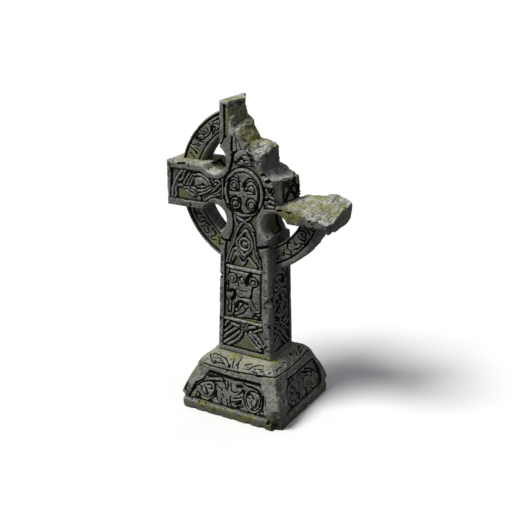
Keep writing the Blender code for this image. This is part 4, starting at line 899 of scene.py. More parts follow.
def break_cutter():
    """Everything that is lost from the head: the broken surface below, closed off above it."""
    ys, rows, end = break_rows()
    n_y, n_s = rows.shape[:2]
    d = np.gradient(rows, axis=1)
    normal = np.stack([d[..., 1], -d[..., 0]], axis=-1)
    normal /= np.maximum(np.hypot(normal[..., 0], normal[..., 1]), 1e-9)[..., None]
    grid = np.stack([rows[..., 0], np.repeat(ys[:, None], n_s, 1), rows[..., 1]], axis=-1).reshape(-1, 3)
    stepped = np.round(2.2 * noise(grid, 0.036, 5)) * 0.0022
    move = 0.0042 * rough(grid, 0.034, 4, 31) + stepped
    move -= 0.006 * ramp(noise(grid, 0.015, 9), 0.45, 0.9)
    high = ramp(grid[:, 2], 1.45, 1.51)
    move += high * (0.008 * rough(grid, 0.030, 3, 33) - 0.012 * ramp(noise(grid, 0.024, 37), 0.35, 0.7))
    h, crease, floor = end_relief().height(grid[:, [1, 2]])
    face = np.tile(end, n_y) * ramp(grid[:, 2], 1.118, 1.126) * ramp(1.236 - grid[:, 2], 0.0, 0.008)
    move = move * (1 - 0.85 * face) - h * face
    flat = normal.reshape(-1, 2)
    grid[:, 0] -= flat[:, 0] * move
    grid[:, 2] -= flat[:, 1] * move
    tris = []
    for k in range(n_y - 1):
        for n in range(n_s - 1):
            a, b = k * n_s + n, (k + 1) * n_s + n
            tris += [(a, a + 1, b + 1), (a, b + 1, b)]
    rim = list(range(n_s)) + [k * n_s + n_s - 1 for k in range(1, n_y)]
    rim += [(n_y - 1) * n_s + n for n in range(n_s - 2, -1, -1)] + [k * n_s for k in range(n_y - 2, 0, -1)]
    lid = np.stack([np.linspace(-0.20, 0.55, n_s)[np.array(rim) % n_s], ys[np.array(rim) // n_s]], axis=1)
    flat_lid, lid_tris = flat_mesh(lid, None, 0.3, 3, rows=())
    count = len(grid)
    points = np.concatenate([grid, np.column_stack([flat_lid, np.full(len(flat_lid), 1.86)])])
    tris += [tuple(t + count) for t in lid_tris]
    for i, a in enumerate(rim):
        b = rim[(i + 1) % len(rim)]
        ua, ub = count + i, count + (i + 1) % len(rim)
        tris += [(a, b, ub), (a, ub, ua)]
    marks = np.ones((len(points), 4))
    marks[:, :2] = 0.0
    marks[:count, 0], marks[:count, 1], marks[:count, 2] = crease * face, 0.6 * floor * face, 1.0 - face
    return mesh_object("break", points, np.array(tris), marks)


def lofted(name, sections, around, steps, amount, seed, broken=1.0):
    """A rough rounded body through a few closed sections."""
    sections = np.array(sections, float)
    n, m = sections.shape[:2]
    t = np.linspace(0, n - 1, steps)
    k = np.minimum(t.astype(int), n - 2)
    f = (t - k)[:, None, None]
    rings = sections[k] * (1 - f) + sections[k + 1] * f
    u = np.linspace(0, m, around, endpoint=False)
    j = u.astype(int)
    g = (u - j)[None, :, None]
    p0, p1, p2, p3 = (rings[:, (j + o) % m] for o in (-1, 0, 1, 2))
    square, cube = (2 * p0 - 5 * p1 + 4 * p2 - p3) * g**2, (3 * p1 - p0 - 3 * p2 + p3) * g**3
    fine = 0.5 * (2 * p1 + (p2 - p0) * g + square + cube)
    centre = fine.mean(axis=1, keepdims=True)
    flat = fine.reshape(-1, 3)
    push = amount * rough(flat, 0.030, 4, seed)
    away = (fine - centre).reshape(-1, 3)
    away /= np.maximum(np.linalg.norm(away, axis=1), 1e-9)[:, None]
    flat = flat + away * push[:, None]
    points = np.concatenate([flat, flat[:around].mean(axis=0)[None], flat[-around:].mean(axis=0)[None]])
    tris = []
    for r in range(steps - 1):
        for c in range(around):
            e = (c + 1) % around
            a, b, q, w = r * around + c, r * around + e, (r + 1) * around + e, (r + 1) * around + c
            tris += [(a, b, q), (a, q, w)]
    last = (steps - 1) * around
    for c in range(around):
        e = (c + 1) % around
        tris += [(steps * around, e, c), (steps * around + 1, last + c, last + e)]
    return mesh_object(name, points, np.array(tris), np.tile([0.0, 0.0, broken, 1.0], (len(points), 1)))


def stump():
    """What remains of the right arm."""
    rings = []
    for x, low, high, front, back in (
        (0.385, ARM_BOTTOM + 0.012, 1.120, FRONT + 0.040, BACK - 0.030),
        (0.420, 1.026, 1.150, FRONT + 0.012, BACK - 0.004),
        (0.448, 1.014, 1.150, FRONT + 0.008, BACK - 0.002),
        (0.468, 1.036, 1.130, FRONT + 0.040, BACK - 0.012),
    ):
        mid = 0.5 * (front + back)
        under = [(x, front, low + 0.022), (x, mid - 0.05, low), (x, mid + 0.06, low), (x, back, low + 0.020)]
        rings.append(under + [(x, back, high), (x, front, high)])
    return lofted("stump", rings, 72, 30, 0.008, 71)


def chip(x, z, deep, high, sign, seed):
    """A rough wedge that takes a chip off a front corner."""
    rings = []
    for y in (FRONT - 0.03, FRONT - 0.01, FRONT + 0.015, FRONT + 0.045):
        k = 1.0 if y < FRONT + 0.02 else 0.4
        tip, out = x - sign * deep * k, x + sign * 0.02
        section = ((tip, z - 0.004), (tip, z + 0.004), (out, z + high), (x + sign * 0.03, z), (out, z - high))
        rings.append([(across, y, up) for across, up in section])
    return lofted("chip", rings, 30, 12, 0.002, seed, 0.3)


def flare(sx, sz):
    """The widening of an armpit towards the back."""
    rings = []
    cx, cz = sx * PIT_X, HEAD_LEVEL + sz * PIT_Z
    for y, grow in ((0.0755, 0.0005), (0.100, 0.012), (BACK + 0.02, 0.026)):
        rings.append([(cx + (PIT_R + grow) * math.cos(a), y, cz + (PIT_R + grow) * math.sin(a))
                      for a in np.linspace(0, 2 * math.pi, 13)[:-1]])
    return lofted("flare", rings, 60, 8, 0.0008, 91, 0.0)


def ring_piece(start, end, groove_out, groove_in, lines, seed):
    """One part of the wheel, between two angles."""
    a = math.radians(end - start)
    n_out, n_in = int(WHEEL_OUT * a / 0.006), int(WHEEL_IN * a / 0.006)
    outer = arc_points(0, HEAD_LEVEL, WHEEL_OUT, start, end, n_out)
    inner = arc_points(0, HEAD_LEVEL, WHEEL_IN, end, start, n_in)
    ends = [outer[-1] + (inner[0] - outer[-1]) * k / 10 for k in range(1, 10)]
    tail = [inner[-1] + (outer[0] - inner[-1]) * k / 10 for k in range(1, 10)]
    loop = np.concatenate([outer, ends, inner, tail])
    relief = ring_relief(start, end, groove_out, groove_in, lines)
    return slab("ring", loop, -WHEEL_Y, WHEEL_Y, 0.009, 0.008, relief, None, seed)


# The wheel's parts: angles of their ends, where the band's grooves run, its lines, seed
WHEEL_PARTS = (
    (103, 168, 40.2, 32.0, UPPER_LEFT_LINES, 201),
    (195, 252, 39.8, 31.1, LOWER_LEFT_LINES, 211),
    (288, 346, 38.5, 30.8, LOWER_RIGHT_LINES, 221),
)
# Cracks and losses in the head: centre, reach, seed
HEAD_BITES = (
    ((-0.066, -0.105, 1.574), (0.020, 0.026, 0.0045), 21),
    ((-0.062, -0.045, 1.580), (0.018, 0.034, 0.0040), 22),
    ((-0.064, -0.085, 1.556), (0.016, 0.022, 0.0040), 23),
    ((-0.058, -0.105, 1.512), (0.012, 0.014, 0.010), 24),
    ((0.150, -0.105, 1.292), (0.020, 0.024, 0.014), 25),
    ((0.118, -0.125, 1.283), (0.020, 0.012, 0.006), 26),
)
# Chips off the shaft's front corners: side, height of the middle, depth, reach, seed
CHIPS = (
    (1, 0.618, 0.023, 0.042, 301), (-1, 0.716, 0.008, 0.022, 302), (-1, 0.404, 0.006, 0.018, 303),
    (-1, 0.555, 0.005, 0.026, 304), (1, 0.400, 0.006, 0.022, 305),
)


def build_cross():
    loop, side, armpits = cross_loop()
    body = slab("cross_stone", loop, FRONT, BACK, ROUND_FRONT, ROUND_BACK, front_relief(),
                wall_relief(loop, side, armpits), 11, back_relief())
    boolean(body, stump(), "UNION")
    for sx, sz in ((-1, 1), (-1, -1), (1, -1)):
        boolean(body, flare(sx, sz), "DIFFERENCE")
    for part in WHEEL_PARTS:
        boolean(body, ring_piece(*part), "UNION")
    boolean(body, break_cutter(), "DIFFERENCE")
    for place in HEAD_BITES:
        boolean(body, bite(*place), "DIFFERENCE")
    for sign, z, deep, high, seed in CHIPS:
        boolean(body, chip(sign * half_at(z), z, deep, high, sign, seed), "DIFFERENCE")
    return body


def hollows(mesh):
    """How hollow (above 0) or proud (below 0) the surface is around each point."""
    p, nrm = coords(mesh), normals(mesh)
    ends = np.empty(len(mesh.edges) * 2, np.int32)
    mesh.edges.foreach_get("vertices", ends)
    a, b = ends.reshape(-1, 2).T
    n = len(p)
    way = p[b] - p[a]
    way /= np.maximum(np.linalg.norm(way, axis=1), 1e-9)[:, None]
    count = np.maximum(np.bincount(a, minlength=n) + np.bincount(b, minlength=n), 1)
    value = np.bincount(a, (way * nrm[a]).sum(axis=1), n) - np.bincount(b, (way * nrm[b]).sum(axis=1), n)
    value /= count
    spread = np.bincount(a, value[b], n) + np.bincount(b, value[a], n)
    return 0.5 * value + 0.5 * spread / count


def weather(obj, node, seed, amount=1.0, flat_foot=False):
    """Nicks along the rounded edges and small pits, kept inside the node's own box."""
    mesh = obj.data
    p, nrm = coords(mesh), normals(mesh)
    edge = 1.0 - ramp(np.abs(nrm).max(axis=1), 0.82, 0.975)
    move = -0.0065 * amount * edge * ramp(rough(p, 0.021, 3, seed), 0.25, 1.0)
    move -= 0.0022 * amount * ramp(noise(p, 0.009, seed + 3), 0.62, 0.95)
    move += 0.0006 * rough(p, 0.012, 2, seed + 5)
    if flat_foot:
        move *= ramp(p[:, 2], 0.001, 0.006) * ramp(PLINTH_TOP - p[:, 2], 0.0005, 0.003)
    p = p + nrm * move[:, None]
    low, high = (np.array(corner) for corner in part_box(node))
    p = np.clip(p, low, high)
    mesh.vertices.foreach_set("co", p.ravel())
    mesh.update()
    layer = mesh.color_attributes["wear_and_shade"]
    wear_and_shade = values(layer.data, "color", 4)
    # Where two solids were cut or joined, new points come out marked 1 throughout
    seam = (wear_and_shade[:, :3] > 0.999).all(axis=1)
    wear_and_shade[seam, :3] = (0.25, 0.0, 0.5)
    # Nicks and hollows are marked as creases, which the material darkens: dirt and painted shade
    wear_and_shade[:, 0] = np.maximum(wear_and_shade[:, 0], 0.55 * edge * ramp(rough(p, 0.021, 3, seed), 0.5, 1.0))
    hollow = hollows(mesh)
    wear_and_shade[:, 0] = np.maximum(wear_and_shade[:, 0], 0.9 * ramp(hollow, 0.06, 0.34))
    # Proud points, which the material lightens: rubbed wear and painted highlight
    wear_and_shade[:, 3] = ramp(-hollow, 0.03, 0.30)
    layer.data.foreach_set("color", wear_and_shade.ravel())


# Plinth
# Along the side's profile: the distance up its face, the height, and how far it has drawn in
PZ, PIN = np.array(PROFILE).T
PS = along(np.array(PROFILE))


def raised(line):
    """A line given from the foot of the slope, moved up to it."""
    up = float(np.interp(SLOPE_FOOT, PZ, PS)) / CM
    return [v + (up if i % 2 else 0.0) for i, v in enumerate(line)]


def plinth_front_relief():
    """(x, height up the leaning face), centimetres."""
    r = Relief()
    r.sunk(0.45, (-25.6, 6.1, 20.9, 6.3, 21.2, 8.6, 20.4, 12, 19.4, 16, 17.6, 18.9, 16, 20.6, 15.2, 22.4, 5,
        22.1, -14.8, 22.5, -16.4, 20.6, -18, 18, -20.6, 16.2, -22.4, 14, -24, 10.4))
    r.field(1, (-21.8, 6.6, -18.8, 6.6, -19.2, 9.6, -20.6, 10.8),
        (-13.4, 6.6, -10.6, 6.6, -10.2, 9.4, -11.6, 8.8), (13.9, 10.2, 15.4, 10.8, 15.8, 13.6, 14.4, 15.2),
        (16.2, 6.6, 19.6, 6.6, 18.4, 9.4, 17.4, 8.8), (-15.2, 18.8, -10, 20, -13, 21.2, -15.4, 20.6))
    r.groove(0.28, 0.85, (-24.5, 7, -22.5, 11.5, -21, 13.5, -18.5, 15.5, -15, 17, -11.5, 17.8, -9, 18.2,
        -6.5, 18.8, -5, 18, -4, 16), (-15.5, 19.5, -12, 20.3, -8, 20.8, -5, 19.5),
        (-20, 13.8, -18.5, 12.8, -17.8, 11, -16.5, 9.8, -15, 9.8, -14, 10.8),
        (-15.3, 15, -14, 15.5, -12.5, 15, -12, 14, -13, 13.2), (-17, 14, -15.5, 12.5, -14.5, 11),
        (-11.8, 17.2, -10.8, 16, -10.5, 14, -11, 11.5, -12, 9.5, -13.5, 8.3, -17.5, 8.2, -19, 9.5),
        (-10.3, 16.5, -9.6, 14, -10, 11, -11, 8.7, -13, 6.8), (-19.3, 9.5, -18.8, 7.5, -17, 6.6),
        (-9.5, 17, -8.5, 15.5, -6.8, 15, -6.2, 14), (-5.8, 12, -5, 11.5, -4.5, 10.5),
        (-9, 13, -9, 11, -8, 9.5, -6.5, 8.5), (-10, 10.5, -8.5, 8.5, -6.5, 7.3, -4.5, 6.5),
        (-5.8, 10, -5.7, 8.3, -4.8, 7, -3, 6.5), (-3.2, 19.3, -3, 16.5, -2.8, 15),
        (-1.6, 19, -1.2, 17, -0.5, 15), (-0.8, 12.5, -0.7, 10, -0.3, 8), (-2.8, 10, -2.2, 8, -1.6, 6.5),
        (-0.5, 15, 1, 14.8, 2.7, 15.3), (1, 11.5, 3.5, 12.2, 5.5, 13.2), (0, 7.8, 1, 7, 3, 7, 5, 8, 7, 9.5),
        (-2, 6.3, 2, 6, 5, 7, 7.5, 8.5), (0.6, 9.6, 3, 10.4, 5.6, 11.6), (6.9, 17, 6.7, 15, 7.2, 13, 8.5,
        9.5, 10, 7.8, 12, 6.8, 14, 6.7, 16, 7.8, 17.3, 9.5, 17.8, 12, 17.3, 15, 16, 17.5, 14, 18.8, 10,
        19.5, 7.5, 19.8), (8.8, 16.5, 8.2, 14.5, 8.7, 12, 10, 9.8, 11.5, 8.5, 13.5, 8, 15.2, 8.8, 16.3, 11,
        16.5, 14, 15.5, 16.5, 13, 17.7, 10.5, 17.6, 8.8, 16.5),
        (9, 15, 10, 16.3, 11, 16, 11.5, 15.2, 12.2, 14.6), (9, 14.2, 10.3, 13.6),
        (11.7, 12.5, 11.6, 11.2, 12.3, 10.2), (12.5, 9.8, 14.5, 9.8),
        (17.5, 17, 18.3, 14.5, 18.3, 11, 18.8, 8, 20, 6.6), (19, 17, 20.3, 14, 20.8, 10, 21, 7.5),
        (5.3, 20.5, 7, 20, 10, 19.7, 13, 19.4, 15.5, 18.3), (3.2, 13.8, 5, 15.6, 5.6, 17.4))
    r.groove(0.6, 1.1, (2.2, 18.3, 4.8, 18.7), (2.8, 8.7, 4.2, 9.3, 5.5, 10.3),
        (-14.5, 22.1, -8, 21.9, -3, 21.6, 1, 21.5, 4, 21.8, 8, 21.9, 15, 21.9))
    r.pit(0.7, 0.7, (-4, 15.5))
    r.dome(1.5, 0.7, (-16.3, 11.5))
    r.dome(1.6, 0.8, (13.2, 11.8))
    r.dome(1.2, 0.5, (4, 16.6))
    # Slope over the panel: pointed ovals, strokes and a wave
    for line in (
        (-17, 5, -15.5, 2.5, -13.5, 0.5), (-15.5, 5.5, -14, 6, -10, 5.3, -7.5, 4.4, -5.5, 2.8, -3.8, 0.6),
        (-10.6, 4, -9, 2.7, -7.4, 1.6), (-12, 1.2, -10, 1.6, -7.2, 1.5), (-12.6, 3.8, -11, 4),
        (-3.2, 6, -2.7, 3.5, -2.2, 1), (0.3, 6.4, 0.1, 4, 1, 0.8), (4.2, 3.5, 6, 4.7, 7.6, 5.2),
        (6, 1.8, 7.2, 2, 9, 4, 11.6, 5.7, 14, 5.9), (9.3, 1.3, 12, 1.3), (12.3, 3.3, 13.9, 3.5),
        (14, 2.4, 15.6, 2.8), (21.4, 7, 21.4, 5),
    ):
        r.groove(0.22, 0.6, raised(line))
    r.groove(0.27, 0.5, raised((-19, -0.6, -12, -1, -4, -0.9, 4, -0.5, 12, 0.2, 17, 0.7, 21, 1.3, 24, 3.6)))
    return r


def plinth_right_relief():
    r = Relief()
    r.sunk(0.45, (-19.6, 6.3, 21, 6.2, 21.4, 12, 20.4, 17.6, 18.6, 21.8, -8.8, 21.8, -12.6, 19, -15.6, 16.4,
        -17.8, 11))
    r.field(1, (16.8, 6.8, 20.2, 6.8, 20, 10.4, 18, 9.6), (-13.6, 6.6, -11.2, 6.6, -12.4, 8.4),
        (2.4, 6.8, 6.4, 6.8, 6.8, 11, 4.4, 11), (-4.2, 8, -2, 7, -1.4, 11, -3.6, 12.4))
    r.groove(0.3, 0.85, (-18.4, 7, -17.2, 11, -15.6, 14.5, -13, 17.6, -10, 20, -7, 21),
        (-16, 8.6, -15.2, 12, -13.6, 14.8, -11.4, 17.4, -9, 18.8, -6.4, 19.2),
        (-11.8, 8, -10.5, 7, -8.4, 6.8), (-14.4, 10.8, -12.6, 9.4, -11.2, 7.8),
        (-8, 13, -10, 12.2, -12, 11.5), (-9.6, 10.2, -8.2, 9.4, -6.8, 10.6, -6, 12.2),
        (-7.6, 6.8, -5.4, 8.8, -4.2, 11.6, -3.4, 14.4),
        (-9.5, 15, -9, 14, -7, 13, -5, 13.5, -4.7, 15, -6, 16), (1, 7, 1.6, 11, 2.3, 15, 3.5, 19.8),
        (-1.8, 7, -0.8, 11.6, 0.2, 16, 1.2, 20.2), (3.2, 7.5, 4, 10, 5.2, 14.6, 6, 18.6),
        (5, 19.8, 8, 18.3, 12, 17, 15, 15.8, 14.8, 14, 13, 14), (9, 19.8, 14, 18, 18, 15, 20, 13),
        (8, 16.2, 11, 15.4), (8, 12.8, 9.6, 9.8, 11.4, 7.6, 13.2, 6.8), (10.4, 12.4, 11.6, 10.2, 12.8, 8.8),
        (13, 8.6, 14.8, 9, 16.4, 11.6, 18, 13.6), (15, 6.8, 16.8, 9.4, 18.6, 11.6))
    r.groove(0.38, 1, (-7.5, 16, -6.5, 17), (-9, 21.6, -2, 21.5, 6, 21.6, 14, 21.5, 18.4, 21.5))
    r.pit(0.9, 0.8, (-4.2, 19.8))
    r.dome(1.6, 0.8, (-7.2, 14.8))
    r.dome(1.3, 0.6, (14, 10.6))
    for line in (
        (-2, 7, -0.9, 5.5, -0.9, 3, -2.2, 0.8), (3.3, 6, 3.2, 3.8), (3.1, 2.5, 1.6, 0.4),
        (-14.5, 3, -12, 3.3, -10.4, 2.8), (-6.6, 4, -5, 3.1), (5.8, 2.4, 7.6, 3.8), (9.4, 2, 13, 3.4),
        (10, 4, 14, 5.5),
    ):
        r.groove(0.22, 0.6, raised(line))
    r.groove(0.27, 0.5, raised((-22, 2.6, -19, 0.8, -14, 0.3, -8, 0, 0, -0.2, 8, 0, 12, 0.5, 17, 0.9)))
    return r


def plinth_plain_relief():
    r = Relief()
    r.sunk(0.9, (-19, 6.3, 19, 6.3, 15, 21.5, -15, 21.5))
    r.ridge(0.7, -0.1, ell(0, 13.9, 4.6, 4.6))
    return r


def rounded(across, end, full):
    """(place across, how far the bend reaches out) of points on a side, rounded from full back to end."""
    near = np.clip((np.abs(across) - (end - CORNER_LEFT)) / CORNER_LEFT, 0, 1)
    phi = near * math.pi / 4
    arc = np.sign(across) * (full - CORNER + CORNER * np.sin(phi))
    return np.where(near > 0, arc, across), CORNER * np.cos(phi)


def plinth_sheet(shell, half, other, turn, relief, grain, seed):
    """One side of the plinth, from foot to seat. turn maps (across, out, up) to the object."""
    levels = np.unique(np.concatenate([np.arange(0, PS[-1], 0.007), PS]))
    reach = half - np.interp(levels, PS, PIN) - CORNER_CUT
    left = [(-w, t) for w, t in zip(reach, levels)]
    right = [(w, t) for w, t in zip(reach, levels)]

    def row(w, t):
        n = int(round(2 * reach[0] / RIM_STEP))
        return [(-w + 2 * w * k / n, t) for k in range(1, n)]

    loop = row(reach[0], levels[0]) + right + row(reach[-1], levels[-1])[::-1] + left[::-1]
    flat, tris = flat_mesh(loop, relief, grain, seed, rows=(0.004,))
    t = flat[:, 1]
    z, pull = np.interp(t, PS, PZ), np.interp(t, PS, PIN)
    # Rounded corners, drawn so that neighbouring sides meet
    end = half - pull - CORNER_CUT
    x, bend = rounded(flat[:, 0], end, half - pull)
    out = other - pull - CORNER + bend
    # The panel's floor lies in a leaning plane
    rise, lean = PANEL_HIGH - PANEL_LOW, PANEL_IN_HIGH - PANEL_IN_LOW
    plane_in = PANEL_IN_LOW + (z - PANEL_LOW) * lean / rise
    face = np.stack([flat[:, 0], np.where(z < PANEL_END, z * math.hypot(rise, lean) / rise, t)], axis=1)
    h, crease, floor = relief.height(face)
    sink = ramp(depth_inside(face, relief.cuts[0][3]), -0.0010, 0.0026) * (z < PANEL_END)
    out = out * (1 - sink) + (other - plane_in) * sink
    points = np.stack(turn(x, out, z), axis=1)
    edge = np.minimum(np.minimum(t, PS[-1] - t), end - np.abs(flat[:, 0]))
    bump = (0.0022 * rough(points, 0.060, 4, 41) + h) * ramp(edge, 0, 0.010)
    grid = np.linspace(0, PS[-1], 400)
    up, inn = (np.interp(t, grid, np.gradient(np.interp(grid, PS, line), PS[-1] / 399)) for line in (PZ, PIN))
    points = np.stack(turn(x, out + bump * up, z + bump * inn), axis=1)
    shell.add(points, tris, crease, floor)


def build_plinth():
    shell = Shell()
    wide, deep = (PLINTH_W, PLINTH_D), (PLINTH_D, PLINTH_W)
    for reaches, turn, relief, grain, seed in (
        (wide, lambda a, o, z: (a, -o, z), plinth_front_relief(), GRAIN * 0.8, 501),
        (deep, lambda a, o, z: (o, a, z), plinth_right_relief(), GRAIN, 502),
        (wide, lambda a, o, z: (-a, o, z), plinth_plain_relief(), GRAIN * 1.5, 503),
        (deep, lambda a, o, z: (-o, -a, z), plinth_plain_relief(), GRAIN * 1.5, 504),
    ):
        plinth_sheet(shell, *reaches, turn, relief, grain, seed)
    # Flat underside and seat, fitted to the sides' own rims
    n_w, n_d = (int(round(2 * (size - CORNER_CUT) / RIM_STEP)) for size in wide)
    for z, pull in ((0.0, PIN[0]), (PLINTH_TOP, PIN[-1])):
        w, d = PLINTH_W - pull - CORNER_CUT, PLINTH_D - pull - CORNER_CUT
        rim = [(-w + 2 * w * k / n_w, -d) for k in range(n_w)]
        rim += [(w, -d + 2 * d * k / n_d) for k in range(n_d)]
        rim += [(w - 2 * w * k / n_w, d) for k in range(n_w)]
        rim += [(-w, d - 2 * d * k / n_d) for k in range(n_d)]
        rim = corner_rounded(np.array(rim), w, d)
        flat, tris = flat_mesh(rim, None, 0.02, 9, rows=())
        shell.add(np.column_stack([flat, np.full(len(flat), z)]), tris)
    body = shell.build("plinth_stone")
    for x, y, z, size, high, seed in FOOT_BITES:
        boolean(body, bite((x, y, z), (size, size, high), seed), "DIFFERENCE")
    return body


# Places bitten out of the plinth: x, y, z, reach, height, seed
FOOT_BITES = (
    (0.3, -0.288, 0.004, 0.054, 0.078, 1), (0.27, -0.276, 0.09, 0.024, 0.036, 2),
    (0.23, -0.29, 0.04, 0.028, 0.02, 19), (-0.286, -0.276, 0, 0.02, 0.016, 3),
    (-0.215, -0.28, 0, 0.017, 0.012, 4), (-0.14, -0.281, 0, 0.018, 0.011, 5),
    (-0.06, -0.28, 0, 0.016, 0.012, 6), (0.03, -0.281, 0, 0.02, 0.013, 7),
    (0.11, -0.281, 0, 0.017, 0.016, 8), (0.19, -0.279, 0, 0.021, 0.02, 9),
    (0.295, -0.15, 0, 0.014, 0.01, 10), (0.295, 0.06, 0, 0.014, 0.01, 11),
    (0.292, 0.276, 0, 0.018, 0.016, 12), (-0.262, -0.262, 0.115, 0.02, 0.03, 13),
    (-0.16, -0.29, 0.03, 0.022, 0.012, 14), (0.06, -0.292, 0.034, 0.024, 0.01, 15),
    (-0.294, 0.1, 0, 0.016, 0.012, 16), (-0.2, 0.28, 0, 0.018, 0.014, 17),
    (0.21, 0.28, 0, 0.016, 0.012, 18),
)


def bite(centre, size, seed):
    """A rough rounded lump, for taking a bite out of a stone."""
    bm = bmesh.new()
    bmesh.ops.create_icosphere(bm, subdivisions=3, radius=1.0)
    mesh = bpy.data.meshes.new("bite")
    bm.to_mesh(mesh)
    bm.free()
    p = coords(mesh)
    grow = 1.0 + 0.30 * rough(p + seed * 3.7, 0.8, 3, seed)
    p = p * grow[:, None] * np.array(size) + np.array(centre)
    mesh.vertices.foreach_set("co", p.ravel())
    add_layer(mesh, "wear_and_shade", np.tile([0.15, 0.0, 1.0, 1.0], (len(p), 1)))
    return add_object("bite", mesh)


def corner_rounded(rim, w, d):
    """The rim as the sides' rounded corners leave it."""
    out = rim.copy()
    for axis, (half, other) in enumerate(((w, d), (d, w))):
        along_axis, across = rim[:, axis], rim[:, 1 - axis]
        on_edge = np.isclose(np.abs(across), other)
        place, bend = rounded(along_axis, half, half + CORNER_CUT)
        reach = np.sign(across) * (other + CORNER_CUT - CORNER + bend)
        out[:, axis] = np.where(on_edge, place, out[:, axis])
        out[:, 1 - axis] = np.where(on_edge, reach, out[:, 1 - axis])
    return out


# Stone, moss and lichen
class Nodes:
    """A material's node tree, built by calls that each return an output."""

    def __init__(self, name):
        self.material = bpy.data.materials.new(name)
        self.material.use_nodes = True
        self.tree = self.material.node_tree
        self.tree.nodes.clear()

    def add(self, kind, **values):
        node = self.tree.nodes.new("ShaderNode" + kind)
        for key, value in values.items():
            setattr(node, key, value)
        return node

    def link(self, a, b):
        self.tree.links.new(a, b)

    def put(self, socket, value):
        if isinstance(value, bpy.types.NodeSocket):
            self.link(value, socket)
        elif isinstance(value, tuple) and len(value) == 3 and socket.type == "RGBA":
            socket.default_value = (*value, 1.0)
        else:
            socket.default_value = value

    def math(self, operation, a, b=0.0, clamp=False):
        node = self.add("Math", operation=operation, use_clamp=clamp)
        self.put(node.inputs[0], a)
        self.put(node.inputs[1], b)
        return node.outputs[0]

    def mix(self, factor, a, b, blend="MIX"):
        node = self.add("Mix", data_type="RGBA", blend_type=blend, clamp_factor=True)
        self.put(node.inputs[0], factor)
        self.put(node.inputs[6], a)
        self.put(node.inputs[7], b)
        return node.outputs[2]

    def noise(self, place, scale, detail=4.0, rough=0.55, offset=(0.0, 0.0, 0.0)):
        shift = self.add("Mapping")
        self.link(place, shift.inputs["Vector"])
        shift.inputs["Location"].default_value = offset
        node = self.add("TexNoise", noise_dimensions="3D")
        self.link(shift.outputs[0], node.inputs["Vector"])
        node.inputs["Scale"].default_value = scale
        node.inputs["Detail"].default_value = detail
        node.inputs["Roughness"].default_value = rough
        return node.outputs["Fac"]

    def span(self, value, low, high, to_low=0.0, to_high=1.0):
        node = self.add("MapRange", interpolation_type="SMOOTHSTEP", clamp=True)
        self.put(node.inputs[0], value)
        for i, v in enumerate((low, high, to_low, to_high)):
            node.inputs[i + 1].default_value = v
        return node.outputs[0]


